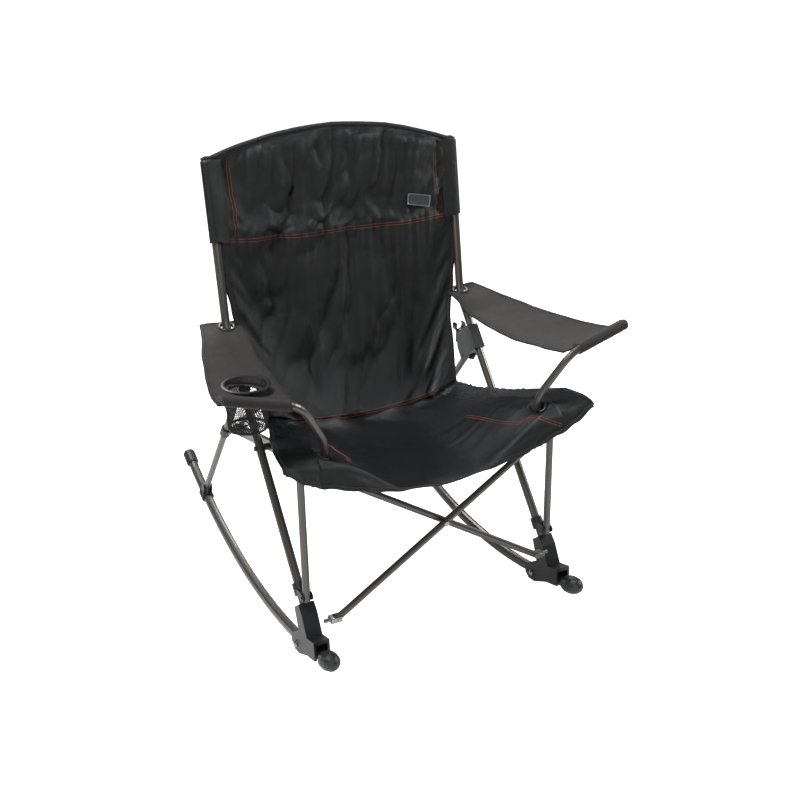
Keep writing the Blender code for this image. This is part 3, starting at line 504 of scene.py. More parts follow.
def run_tree(tree, name, lines, values, uv_of):
    """The mesh that a tree makes from a line mesh, with a UV worked out from each vertex."""
    guide = new_object(name + "_guide", lines)
    step = guide.modifiers.new(name, "NODES")
    step.node_group = tree
    for item in tree.interface.items_tree:
        if item.in_out == "INPUT" and item.name in values:
            step[item.identifier] = values[item.name]
    bpy.context.view_layer.update()
    made = bpy.data.meshes.new_from_object(guide.evaluated_get(bpy.context.evaluated_depsgraph_get()))
    bpy.data.objects.remove(guide)
    for old in list(made.uv_layers):
        made.uv_layers.remove(old)
    layer = made.uv_layers.new(name="cloth")
    for loop in made.loops:
        layer.data[loop.index].uv = uv_of(*made.vertices[loop.vertex_index].co)
    return made


def stitch_tree():
    """Rows of thread stitches along edges: pitch, stitch length and thread radius are inputs."""
    tree, start = begin_tree("stitch_row", (("Pitch", 0.0042), ("Stitch", 0.0030), ("Thread", 0.00042)))
    nodes, links = tree.nodes, tree.links
    curve = nodes.new("GeometryNodeMeshToCurve")
    even = nodes.new("GeometryNodeResampleCurve")
    even.mode = "LENGTH"
    tangent = nodes.new("GeometryNodeInputTangent")
    turn = nodes.new("FunctionNodeAlignRotationToVector")
    turn.axis = "Z"
    thread = nodes.new("GeometryNodeMeshCylinder")
    thread.inputs["Vertices"].default_value = 6
    place = nodes.new("GeometryNodeInstanceOnPoints")
    links.new(start.outputs["Geometry"], curve.inputs["Mesh"])
    links.new(curve.outputs["Curve"], even.inputs["Curve"])
    links.new(start.outputs["Pitch"], even.inputs["Length"])
    links.new(tangent.outputs[0], turn.inputs["Vector"])
    links.new(start.outputs["Thread"], thread.inputs["Radius"])
    links.new(start.outputs["Stitch"], thread.inputs["Depth"])
    links.new(even.outputs["Curve"], place.inputs["Points"])
    links.new(thread.outputs["Mesh"], place.inputs["Instance"])
    links.new(turn.outputs["Rotation"], place.inputs["Rotation"])
    end_tree(tree, start, place.outputs["Instances"])
    return tree


STITCHES = stitch_tree()


def stitches_along(name, paths, material, body, pitch=0.0042, stitch=0.0031, thread=0.00045):
    """One piece holding a row of stitches along each path."""
    mesh = bpy.data.meshes.new(name)
    verts, edges = [], []
    for path in paths:
        first = len(verts)
        verts += [tuple(p) for p in path]
        edges += [(k, k + 1) for k in range(first, len(verts) - 1)]
    mesh.from_pydata(verts, edges, [])
    values = {"Pitch": pitch, "Stitch": stitch, "Thread": thread, "Material": material}
    made = run_tree(STITCHES, name, mesh, values, lambda x, y, z: (x + y, z - y))
    return add_piece(name, made, material, body)


# ---------------------------------------------------------------- sling shape
def back_base(u, v):
    """Back panel before it wrinkles: u across from -1 to 1, v from the seat seam (0) to the top edge (1)."""
    side_top = POST_TOP_Z - PLUG_HIGH + CLOTH_RISE
    z_side = CORNER_Z + (side_top - CORNER_Z) * v
    z_mid = SEAM_Z + 0.002 + (TOP_Z - 0.002 - SEAM_Z) * v
    z = z_side + (z_mid - z_side) * (1 - u * u)
    half = eased(z_side, [(CORNER_Z, 0.243), (0.54, 0.253), (0.65, 0.275), (0.71, CLOTH_HALF)])
    side_y = linear(z_side, [(CORNER_Z, SEAM_Y), (0.50, 0.104), (0.60, post_y(0.60)), (0.95, post_y(0.95))])
    sag = eased(z_side, [(CORNER_Z, 0.003), (0.52, 0.024), (0.64, 0.030), (0.80, 0.012), (0.95, 0.003)])
    return np.array((half * u, side_y + sag * (1 - u * u), z))


SEAT_HALF = [(SEAT_FRONT_Y, 0.351), (-0.24, 0.340), (-0.19, 0.322), (-0.118, 0.300), (-0.04, 0.272),
             (0.0, 0.258), (SEAM_Y, 0.244)]


SEAT_RAIL_Z = [(SEAT_FRONT_Y, 0.4800), (-0.232, 0.4790), (-0.10, 0.440), (0.0, 0.420), (SEAM_Y, 0.411)]
FRONT_TURN = -0.282  # where the seat's front hem turns down over the hubs
FRONT_EDGE = [(0.0, 0.390), (0.10, 0.397), (0.157, 0.405), (0.207, 0.415), (0.272, 0.432), (0.308, 0.449),
              (0.351, 0.477)]


def seat_base(u, depth):
    """Seat before it wrinkles: u across from -1 to 1. Its front hem hangs in front of the hubs."""
    half = linear(depth, SEAT_HALF)
    x = half * u
    y = max(depth, FRONT_TURN)
    middle = linear(y, [(SEAT_FRONT_Y, 0.396), (-0.20, 0.389), (-0.08, 0.382), (SEAM_Y, SEAM_Z)])
    rail = linear(y, SEAT_RAIL_Z)
    inside = linear(y, [(-0.23, 0.228), (SEAM_Y, 0.200)])
    z = eased(abs(x), [(0.085, middle), (inside, rail)]) + max(abs(x) - 0.262, 0.0) * 0.10
    turned = min(max((FRONT_TURN - depth) / (FRONT_TURN - SEAT_FRONT_Y), 0.0), 1.0)
    low = eased(abs(x), FRONT_EDGE)
    out = 0.018 * min(2.2 * turned, 1.0) * smooth(0.06, 0.20, abs(x))
    return np.array((x, depth - out, z + (low - z) * turned ** 1.4))


ACROSS = 101
BACK_ROWS = 110
SEAT_ROWS = 62
HEM_ROWS = 12  # rows of the seat's front hem
SEAT_DEPTHS = np.concatenate([
    np.linspace(SEAM_Y, FRONT_TURN, SEAT_ROWS - HEM_ROWS + 1),
    np.linspace(FRONT_TURN, SEAT_FRONT_Y, HEM_ROWS + 1)[1:],
])


def back_row_at(u, z):
    """Fractional row of the back where it reaches a height, at a place across."""
    side_top = POST_TOP_Z + 0.016
    bow = 1 - u * u
    low = CORNER_Z * (1 - bow) + (SEAM_Z + 0.002) * bow
    high = side_top * (1 - bow) + TOP_Z * bow
    return (BACK_ROWS - 1) * (1 - (z - low) / (high - low))


def headrest_row(u):
    """Row of the seam below the headrest: it runs level, a little higher at the sides."""
    return back_row_at(u, HEADREST_Z + 0.008 * u**4)


def crease(s, t, scale, seed):
    """Sharp-crested folds, from 0 in the flats to 1 on a crest."""
    return (1 - min(abs(noise.noise(Vector((s * scale, t * scale, seed)))) * 2.4, 1.0)) ** 1.6


def crumple(x, drop, row, u):
    """Height of the packed-cloth creases at a place on the sling."""
    warp = 0.06 * fbm(3.5 * x, 3.5 * drop, 7.0)
    slant = 0.85 * x - 0.55 * drop + warp
    run = 0.45 * drop + 0.30 * x + 0.4 * warp
    big = crease(1.25 * slant, 0.75 * run, 6.5, 1.7) - 0.40
    mid = crease(slant - 0.4 * run, run, 12.0, 4.2) - 0.40
    small = crease(x, drop, 24.0, 9.1) - 0.40
    swell = fbm(5.0 * x + 0.4, 5.0 * drop, 12.5, 2)
    strength = 1.0
    if row >= BACK_ROWS:
        strength = 0.16 + 0.84 * smooth(BACK_ROWS + 9, BACK_ROWS - 2, row)
    away = abs(row - headrest_row(u)) if row < BACK_ROWS else 99.0
    pucker = 0.0016 * math.sin(2 * math.pi * x / 0.021 + 3 * fbm(9 * x, 1.0)) * math.exp(-away / 3.5)
    return strength * (0.0125 * big + 0.0062 * mid + 0.0018 * small + 0.0065 * swell) + pucker


def hang_sling():
    """The whole sling as one cloth: back above, seat below, held at its edges and let buckle."""
    columns = np.linspace(-1, 1, ACROSS)
    rows = [[back_base(u, v) for u in columns] for v in np.linspace(1, 0, BACK_ROWS)]
    rows += [[seat_base(u, y) for u in columns] for y in SEAT_DEPTHS[1:]]
    base = np.array(rows)
    count = len(base)
    start = base.copy()
    normals = grid_normals(base)
    for i in range(count):
        for j in range(ACROSS):
            x, y, z = base[i, j]
            free = (1 - abs(columns[j]) ** 8) * smooth(0, 5, i)
            start[i, j] += normals[i, j] * crumple(x, z - y, i, columns[j]) * free
    mesh = bpy.data.meshes.new("sling")
    index = np.arange(count * ACROSS).reshape(count, ACROSS)
    faces = [
        (index[i, j], index[i, j + 1], index[i + 1, j + 1], index[i + 1, j])
        for i in range(count - 1)
        for j in range(ACROSS - 1)
    ]
    mesh.from_pydata([tuple(p) for p in start.reshape(-1, 3)], [], faces)
    obj = new_object("sling", mesh)
    held = obj.vertex_groups.new(name="held")
    for i in range(count):
        for j in range(ACROSS):
            weight = hold_weight(i, columns[j], base[i, j])
            if weight > 0.001:
                held.add([int(index[i, j])], weight, "REPLACE")
    cloth = obj.modifiers.new("cloth", "CLOTH")
    rules = cloth.settings
    rules.quality = 7
    rules.mass = 0.25
    rules.tension_stiffness = 22
    rules.compression_stiffness = 22
    rules.shear_stiffness = 9
    rules.bending_stiffness = 0.9
    rules.tension_damping = 8
    rules.compression_damping = 8
    rules.air_damping = 2.5
    rules.shrink_min = -0.030
    rules.vertex_group_mass = "held"
    rules.pin_stiffness = 1.0
    cloth.collision_settings.use_collision = False
    cloth.point_cache.frame_start = 1
    cloth.point_cache.frame_end = 40
    scene = bpy.context.scene
    for step in range(1, SETTLE_FRAMES + 1):
        scene.frame_set(step)
    settled = obj.evaluated_get(bpy.context.evaluated_depsgraph_get()).data
    moved = np.empty(len(settled.vertices) * 3)
    settled.vertices.foreach_get("co", moved)
    moved = moved.reshape(count, ACROSS, 3)
    scene.frame_set(1)
    bpy.data.objects.remove(obj)
    shift = moved - base
    reach = np.linalg.norm(shift, axis=2, keepdims=True)
    most = 0.022
    eased_reach = most * np.tanh(reach / most)
    settled = base + shift * eased_reach / np.maximum(reach, 1e-9)
    return settled + (start - base) * CRUMPLE_KEPT, base


def hold_weight(row, u, point):
    """How firmly the frame holds a point of the sling."""
    side = smooth(0.93, 0.985, abs(u))
    if row < BACK_ROWS:
        top = smooth(5, 1, row)
        seam = 0.75 * smooth(BACK_ROWS - 4, BACK_ROWS - 1, row) * smooth(0.80, 0.97, abs(u))
        headrest = 0.9 * smooth(2.5, 0.0, abs(row - headrest_row(u)))
        return max(side, top, seam, headrest)
    rail = smooth(0.74, 0.80, abs(u)) * smooth(-0.05, -0.14, point[1])
    front = 0.55 * smooth(SEAT_FRONT_Y + 0.02, SEAT_FRONT_Y, point[1])
    return max(side * 0.95, rail, front * smooth(0.25, 0.8, abs(u)))


HEADREST_ROW = round(headrest_row(1.0))
sling, sling_rest = hang_sling()
sling_uv = metres_uv(sling_rest)


def on_sling(row, u, lift=0.0006):
    """A point on the sling's face at a fractional row and u, lifted towards the sitter."""
    j = (u + 1) / 2 * (ACROSS - 1)
    i0 = int(min(max(row, 0), len(sling) - 2))
    j0 = int(min(max(j, 0), ACROSS - 2))
    a, b = row - i0, j - j0
    point = (
        sling[i0, j0] * (1 - a) * (1 - b)
        + sling[i0 + 1, j0] * a * (1 - b)
        + sling[i0, j0 + 1] * (1 - a) * b
        + sling[i0 + 1, j0 + 1] * a * b
    )
    return point + SLING_NORMALS[i0, j0] * lift


def towards_sitter(points):
    normals = grid_normals(points)
    facing = np.array((0.0, -0.7, 0.7))
    return normals if (normals @ facing).mean() > 0 else -normals


SLING_NORMALS = towards_sitter(sling)


def padding(row, u):
    """Share of the headrest's full padding at a place."""
    end = headrest_row(u)
    inner = smooth(0.905, 0.86, abs(u)) * 0.8 + 0.2 * smooth(1.0, 0.94, abs(u)) * smooth(0.90, 0.94, abs(u))
    return smooth(0, 5, row) * smooth(end, end - 7, row) * inner


def pad_headrest():
    """Raises the sling's face where the headrest is padded."""
    for i in range(int(headrest_row(0.0)) + 2):
        for j, u in enumerate(np.linspace(-1, 1, ACROSS)):
            share = padding(i, u)
            sling[i, j] += SLING_NORMALS[i, j] * share * (0.0085 + 0.0030 * fbm(7 * u, 0.10 * i, 2.0))


pad_headrest()
SLING_NORMALS = towards_sitter(sling)
BACK_PART = slice(0, BACK_ROWS)
SEAT_PART = slice(BACK_ROWS - 1, BACK_ROWS + SEAT_ROWS)


def sling_panel(name, rows, columns, thick, body, *covers):
    points = sling[rows, columns]
    uvs = sling_uv[rows, columns]
    wall = np.broadcast_to(thick, points.shape[:2])
    if (grid_normals(points) * SLING_NORMALS[rows, columns]).sum() < 0:
        points, uvs, wall = points[:, ::-1], uvs[:, ::-1], wall[:, ::-1]
    obj = add_piece(name, thick_sheet(points, wall, uvs), SLING_CLOTH, body)
    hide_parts(*covers)
    return obj


back_thick = np.full((BACK_ROWS, ACROSS), BACK_THICK)
for i in range(int(headrest_row(0.0)) + 2):
    for j, u in enumerate(np.linspace(-1, 1, ACROSS)):
        back_thick[i, j] += PADDING * padding(i, u)
SPLIT = 10  # columns of the seat's side flaps
SPLIT_U = 1 - 2 * SPLIT / (ACROSS - 1)
WHOLE = slice(0, ACROSS)
LEFT_FLAP = slice(0, SPLIT + 1)
MIDDLE = slice(SPLIT, ACROSS - SPLIT)
RIGHT_FLAP = slice(ACROSS - SPLIT - 1, ACROSS)


def fold_flap(obj):
    """Bakes the placement of a piece of the seat's side into its mesh."""
    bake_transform(obj)


def squash_middle(obj):
    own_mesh(obj)


def squash_across(obj):
    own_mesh(obj)


back_panel = sling_panel("sling_back_panel", BACK_PART, WHOLE, back_thick, "post_L", "sling_back")
seat_panel = sling_panel("seat_middle_panel", SEAT_PART, MIDDLE, SEAT_THICK, "side_rail_L", "sling_seat")
squash_across(back_panel)
squash_middle(seat_panel)
for flap_side, flap_columns, flap_tag in ((-1, LEFT_FLAP, "L"), (1, RIGHT_FLAP, "R")):
    flap = sling_panel("seat_flap_" + flap_tag, SEAT_PART, flap_columns, SEAT_THICK, None)
    fold_flap(flap)


# ---------------------------------------------------------------- edges, sleeves and seams of the sling
def seat_row(y):
    return BACK_ROWS - 1 + float(np.interp(-y, -SEAT_DEPTHS, np.arange(len(SEAT_DEPTHS))))


def seat_u(x, y):
    return x / linear(y, SEAT_HALF)


def edge_tape(name, path, facing, width, flat, body="post_L"):
    """Folded binding tape over an edge: an oval tube flattened along the edge's facing direction."""
    return add_piece(name, tube_along(path, width, 10, (facing, flat)), TAPE, body)


def double_row(name, spots, body="post_L", gap=0.0060):
    """Two parallel rows of rust thread through (row, u) spots on the sling."""
    path = np.array([on_sling(r, u, 0.0007) for r, u in spots])
    facing = [SLING_NORMALS[int(min(r, len(sling) - 1)), int((u + 1) / 2 * (ACROSS - 1))] for r, u in spots]
    side = np.cross(np.gradient(path, axis=0), np.array(facing))
    side /= np.linalg.norm(side, axis=1, keepdims=True)
    rows = [path + side * gap / 2, path - side * gap / 2]
    return stitches_along(name, rows, THREAD, body, 0.0040, 0.0024, 0.00034)


SIDE_SEAM = [(0.165, -0.100), (0.172, -0.157), (0.178, -0.227), (0.190, -0.268), (0.225, -0.288),
             (0.272, -0.298)]  # x and y of the seam along the seat's side


def sew_sling():
    us = np.linspace(-0.985, 0.985, 150)
    squash_across(double_row("headrest_seam_stitches", [(headrest_row(u) + 0.3, u) for u in us]))
    squash_across(double_row("seat_seam_stitches", [(BACK_ROWS - 1.6, u) for u in us[14:-14]]))
    for s, tag in ((-1, "L"), (1, "R")):
        rows = np.linspace(4.0, headrest_row(0.9) - 1.0, 70)
        squash_across(double_row("headrest_side_stitches_" + tag, [(r, s * 0.875) for r in rows]))
        steps = np.linspace(0, len(SIDE_SEAM) - (1 if s > 0 else 3), 80)
        xs, ys = (np.interp(steps, range(len(SIDE_SEAM)), [point[k] for point in SIDE_SEAM]) for k in (0, 1))
        spots = [(seat_row(y), s * min(seat_u(x, y), SPLIT_U - 0.012)) for x, y in zip(xs, ys)]
        squash_middle(double_row("seat_side_stitches_" + tag, spots, "side_rail_L"))


def bind_sling():
    top = sling[0] - SLING_NORMALS[0] * 0.003 + np.array((0, 0, 0.0015))
    facing = SLING_NORMALS[0]
    for s in (-1, 1):
        out = (POST_R + 0.0005) * s
        extra = [(s * SIDE_X - out, 0.0), (s * SIDE_X + out * 0.2, 0.0004), (s * SIDE_X + out, -0.0035)]
        ends = np.array([(x, top[0][1] + 0.001, POST_TOP_Z + 0.0165 + dz) for x, dz in extra])
        if s < 0:
            top, facing = np.vstack([ends[::-1], top]), np.vstack([[facing[0]] * 3, facing])
        else:
            top, facing = np.vstack([top, ends]), np.vstack([facing, [facing[-1]] * 3])
    squash_across(edge_tape("top_binding", top, facing, 0.0058, 0.9))
    for column, s, tag in ((0, -1, "L"), (ACROSS - 1, 1, "R")):
        normals = SLING_NORMALS[:, column]
        edge = sling[:, column] - normals * 0.0008
        back = slice(HEADREST_ROW, BACK_ROWS)
        seat = slice(BACK_ROWS - 1, BACK_ROWS + SEAT_ROWS)
        squash_across(edge_tape("side_binding_" + tag, edge[back], normals[back], 0.0046, 0.45))
        fold_flap(edge_tape("seat_side_binding_" + tag, edge[seat], normals[seat], 0.0052, 0.45, None))
    front, normals = sling[-1], SLING_NORMALS[-1]
    squash_middle(edge_tape("seat_front_hem", front[MIDDLE], normals[MIDDLE], 0.0050, 0.45, "side_rail_L"))
    fold_flap(edge_tape("seat_front_hem_L", front[LEFT_FLAP], normals[LEFT_FLAP], 0.0050, 0.45, None))
    fold_flap(edge_tape("seat_front_hem_R", front[RIGHT_FLAP], normals[RIGHT_FLAP], 0.0050, 0.45, None))


def sleeve_ring(s, z, share, low):
    """Section of a headrest sleeve: round outside the post, closing to a flat tongue on the panel's edge."""
    radius = (POST_R + SLEEVE_OUT) * share
    reach, tongue = 0.031, 0.0040 * share
    ring = [(math.cos(a) * radius, math.sin(a) * radius) for a in np.linspace(-math.pi / 2, math.pi / 2, 15)]
    for f in np.linspace(0.15, 1.0, 6):
        ring.append((-reach * f, radius + (tongue - radius) * smooth(0, 1, f)))
    for f in np.linspace(1.0, 0.15, 6):
        ring.append((-reach * f, -radius + (radius - tongue) * smooth(0, 1, f)))
    points = []
    for out, deep in ring:
        soft = 0.0012 * fbm(50 * out, 50 * deep + s, 22 * z) + 0.0018 * fbm(13 * z + s, 3.0 + 20 * out)
        drop = low * (0.010 * max(-out, 0) / reach - 0.002)
        points.append((s * (SIDE_X + out + soft), post_y(z) - 0.001 + deep + soft, z - drop))
    return points


def post_sleeve(s, tag):
    """Sleeve of the headrest around a post, closed over the post's end and sewn to the panel."""
    low, high = HEADREST_Z + 0.004, POST_TOP_Z + 0.0168
    heights = np.concatenate([np.linspace(low, high - 0.006, 40), high - 0.006 * np.array((0.5, 0.2, 0.03))])
    shares = np.concatenate([np.ones(40), (0.94, 0.80, 0.45)])
    points = [sleeve_ring(s, z, c, smooth(low + 0.02, low, z)) for z, c in zip(heights, shares)]
    count = len(points[0])
    uvs = [[(0.0042 * k, z) for k in range(count + 1)] for z in heights]
    inner = [[hollow(p, s) for p in ring] for ring in points[:3]]
    bm = bmesh.new()
    bm.loops.layers.uv.new("cloth")
    rings = [[bm.verts.new(p) for p in ring] for ring in inner[::-1] + points]
    marks = [uvs[k] for k in (2, 1, 0)] + uvs
    skin_rings(bm, rings, marks)
    bm.faces.new(rings[0])
    bm.faces.new(rings[-1])
    mesh = finished_mesh(bm, "sleeve")
    add_piece("post_sleeve_" + tag, mesh, SLING_CLOTH, "post_" + tag)
    out = s * (SIDE_X + POST_R + SLEEVE_OUT)
    edge = [(out, post_y(z) - 0.001, z) for z in np.linspace(low, high - 0.004, 30)]
    edge_tape("sleeve_piping_" + tag, edge, np.tile((1.0, 0.0, 0.0), (30, 1)), 0.0030, 0.6, "post_" + tag)


def hollow(point, s):
    """A point of the sleeve's section moved to its inner face."""
    x, y, z = point
    deep = y - post_y(z)
    out = s * x - SIDE_X
    length = max(math.hypot(out, deep), 1e-6)
    share = max(length - 0.0016, 0.5 * length) / length
    return (s * (SIDE_X + out * share), post_y(z) + deep * share, z)


# ---------------------------------------------------------------- armrests
REST_INNER = [(-0.270, 0.304, 0.5905), (-0.20, 0.295, 0.580), (-0.10, 0.281, 0.573), (0.05, 0.270, 0.583),
              (0.10, 0.266, 0.604), (0.168, 0.263, 0.617)]
REST_OUTER = [(-0.270, 0.452, 0.6185), (-0.19, 0.440, 0.604), (-0.096, 0.418, 0.600), (-0.01, 0.396, 0.603),
              (0.10, 0.362, 0.612), (0.168, 0.344, 0.620)]


def curve_through(rows, y):
    """Smooth x and z of an armrest edge at a depth."""
    ys = [row[0] for row in rows]
    k = min(max(int(np.searchsorted(ys, y)) - 1, 0), len(rows) - 2)
    p = [rows[max(k - 1, 0)], rows[k], rows[k + 1], rows[min(k + 2, len(rows) - 1)]]
    t = (y - p[1][0]) / (p[2][0] - p[1][0])
    out = []
    for axis in (1, 2):
        a, b, c, d = (q[axis] for q in p)
        m0 = (c - a) / (p[2][0] - p[0][0]) * (p[2][0] - p[1][0])
        m1 = (d - b) / (p[3][0] - p[1][0]) * (p[2][0] - p[1][0])
        value = (2 * t**3 - 3 * t**2 + 1) * b + (t**3 - 2 * t**2 + t) * m0
        out.append(value + (-2 * t**3 + 3 * t**2) * c + (t**3 - t**2) * m1)
    return out


def rest_point(s, u, y):
    xi, zi = curve_through(REST_INNER, y)
    xo, zo = curve_through(REST_OUTER, y)
    dip = -0.004 * math.sin(math.pi * u) * smooth(0.17, 0.05, y)
    soft = 0.0022 * fbm(1.6 * u + s, 9 * y, 3.0, 2) + 0.0007 * fbm(5 * u, 30 * y + s, 8.0, 2)
    edge = 0.0016 * fbm(2.0 * s, 14 * y, 1.0, 2)
    return np.array((s * (xi + (xo - xi) * u + edge), y, zi + (zo - zi) * u + dip + soft + 0.0010))


def holes_in(points, holes):
    """Snaps the grid round each hole's edge and drops the faces inside it."""
    keep = np.ones(points.shape[:2], bool)
    for x, y, radius in holes:
        dx, dy = points[..., 0] - x, points[..., 1] - y
        away = np.hypot(dx, dy)
        near = (away < radius * 1.22) & (away > 1e-9)
        scale = np.where(near & (away >= radius * 0.80), radius / np.maximum(away, 1e-9), 1.0)
        points[..., 0] = x + dx * scale
        points[..., 1] = y + dy * scale
        keep &= ~(np.hypot(points[..., 0] - x, points[..., 1] - y) < radius * 0.995)
    return keep


def armrest_panel(s, tag):
    rows, columns = 150, 48
    ys = np.linspace(-0.268, 0.166, rows)
    us = np.linspace(0, 1, columns)
    points = np.array([[rest_point(s, u, y) for u in us] for y in ys])
    if s < 0:
        points = points[:, ::-1]
    rest_uv = metres_uv(points)
    grommet = [(a + b) / 2 for a, b in zip(*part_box("grommet_" + tag))]
    holes = [(grommet[0], grommet[1], 0.0172)]
    if s < 0:
        holes.append((CUP[0], CUP[1], CUP_R + 0.0022))
    keep = holes_in(points, holes)
    normals = grid_normals(points)
    if normals[..., 2].mean() < 0:
        normals = -normals
    thick = 0.0034
    bm = bmesh.new()
    layer = bm.loops.layers.uv.new("cloth")
    made = {}

    def vert(i, j, low):
        key = (i, j, low)
        if key not in made:
            made[key] = bm.verts.new(points[i, j] - normals[i, j] * (thick if low else 0.0))
        return made[key]

    for i in range(rows - 1):
        for j in range(columns - 1):
            spots = [(i, j), (i, j + 1), (i + 1, j + 1), (i + 1, j)]
            if not any(keep[a, b] for a, b in spots):
                continue
            for low in (False, True):
                order = spots[::-1] if low else spots
                uv_face(bm, [vert(a, b, low) for a, b in order], [rest_uv[a, b] for a, b in order])
    names = {made[key]: key for key in made}
    for edge in [e for e in bm.edges if len(e.link_faces) == 1 and not names[e.verts[0]][2]]:
        a, b = (names[v] for v in edge.verts)
        wall = bm.faces.new((made[a], made[b], made[(b[0], b[1], True)], made[(a[0], a[1], True)]))
        for loop in wall.loops:
            i, j, _ = names[loop.vert]
            loop[layer].uv = rest_uv[i, j]
    mesh = finished_mesh(bm, "armrest")
    panel = add_piece("armrest_cloth_" + tag, mesh, ARM_CLOTH, None)
    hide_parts("armrest_" + tag)
    pieces = [panel]
    inset = 0.0008
    rim = [points[0, :], points[:, -1], points[-1, ::-1], points[::-1, 0]]
    facing = [normals[0, :], normals[:, -1], normals[-1, ::-1], normals[::-1, 0]]
    for k, label in ((1, "outer"), (2, "rear"), (3, "inner")):
        path = rim[k] - facing[k] * (thick / 2)
        mesh = tube_along(path, 0.0042, 10, (facing[k], 0.62))
        pieces.append(add_piece(f"armrest_{label}_binding_{tag}", mesh, TAPE, None))
        middle = points.mean(axis=(0, 1))
        toward = middle - rim[k]
        toward /= np.linalg.norm(toward, axis=1, keepdims=True)
        row = rim[k] + toward * 0.0062 + facing[k] * (0.0004 + inset)
        pieces.append(stitches_along(f"armrest_{label}_stitches_{tag}", [row[2:-2]], DARK_THREAD, None))
    for piece in pieces:
        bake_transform(piece)
    hem_sleeve(s, tag)


def hem_sleeve(s, tag):
    """Sleeve sewn across the armrest's front, round the arm tube's outer run."""
    arm = NODES["arm_tube_" + tag].data
    xs = np.array([v.co for v in arm.vertices])
    tip_x = xs[:, 0][np.argmax(np.abs(xs[:, 0]))]
    near = np.abs(xs[:, 0] - tip_x) < 0.012
    tip = xs[near].mean(axis=0)
    bend_x = s * (SIDE_X + 0.035)
    band = np.abs(xs[:, 0] - bend_x) < 0.02
    start = xs[band & (xs[:, 2] > 0.585)].mean(axis=0)
    start = tip + (start - tip) * 1.02
    end = tip + (tip - start) * 0.030
    count, sides = 40, 22
    rings, uvs = [], []
    for i in range(count):
        t = i / (count - 1)
        centre = start + (end - start) * t
        ring = []
        for k in range(sides + 1):
            turn = 2 * math.pi * k / sides
            back_pull = max(0.0, math.cos(turn)) ** 3 * 0.012
            soft = 0.0007 * fbm(10 * t + s, 1.5 * math.cos(turn), 1.5 * math.sin(turn))
            radius = 0.0080 + 0.0030 + soft
            ring.append(centre + np.array((0, math.cos(turn) * radius + back_pull, math.sin(turn) * radius)))
        rings.append(ring)
        uvs.append([(0.011 * turn_k, t * 0.14) for turn_k in np.linspace(0, 6.283, sides + 1)])
    mesh = welded(grid_mesh(rings, uvs), close_ends=True)
    add_piece("armrest_hem_" + tag, mesh, ARM_CLOTH, "front_leg_" + tag)


# ---------------------------------------------------------------- cup holder
def cup_net():
    """Open diamond net of the cup holder, with its rim and base bands."""
    low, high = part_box("mesh_cup")
    centre = np.array(((low[0] + high[0]) / 2, (low[1] + high[1]) / 2, 0.0))
    top_r = (high[0] - low[0]) / 2 - 0.0008
    base_r = top_r - 0.0072
    cells, layers = 60, 15
    bm = bmesh.new()
    rings = []
    for i in range(layers + 1):
        t = i / layers
        radius = top_r + (base_r - top_r) * t + 0.0012 * math.sin(9 * t)
        turn0 = 0.5 * (i % 2)
        rings.append([
            bm.verts.new((
                centre[0] + radius * math.cos(2 * math.pi * (k + turn0) / cells),
                centre[1] + radius * math.sin(2 * math.pi * (k + turn0) / cells),
                high[2] - (high[2] - low[2] - 0.004) * t,
            ))
            for k in range(cells)
        ])
    edges = []
    for i in range(layers):
        shift = i % 2
        for k in range(cells):
            edges.append((rings[i][k], rings[i + 1][(k + shift) % cells]))
            edges.append((rings[i][k], rings[i + 1][(k + shift - 1) % cells]))
    for a, b in edges:
        bm.edges.new((a, b))
    spokes = 6
    last = previous = rings[-1]
    for i in range(1, spokes):
        ring = []
        for k in range(cells):
            share = 1 - i / spokes
            x = centre[0] + (last[k].co.x - centre[0]) * share
            y = centre[1] + (last[k].co.y - centre[1]) * share
            ring.append(bm.verts.new((x, y, last[k].co.z - 0.002 * math.sin(1.5 * i))))
        for k in range(0, cells, 2):
            for step in ((2, -2) if i % 2 else (0, 2)):
                bm.edges.new((previous[k], ring[(k + step) % cells]))
        previous = ring
    loose = [v for v in bm.verts if not v.link_edges]
    bmesh.ops.delete(bm, geom=loose, context="VERTS")
    strands = strand_mesh(finished_mesh(bm, "net_lines", turn_outward=False), 0.00062)
    net = add_piece("cup_net", strands, NET, "front_leg_L")
    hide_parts("mesh_cup")
    for label, t, wide in (("rim", 0.02, 0.0070), ("base", 0.985, 0.0060)):
        radius = top_r + (base_r - top_r) * t + 0.0009
        z = high[2] - (high[2] - low[2] - 0.004) * t
        turns = np.linspace(0, 2 * math.pi, 73)
        soft = z + 0.0006 * np.sin(5 * turns)
        round_x, round_y = centre[0] + radius * np.cos(turns), centre[1] + radius * np.sin(turns)
        path = np.stack([round_x, round_y, soft], axis=1)
        add_piece("cup_band_" + label, closed_loop(path, wide), TAPE, "front_leg_L")


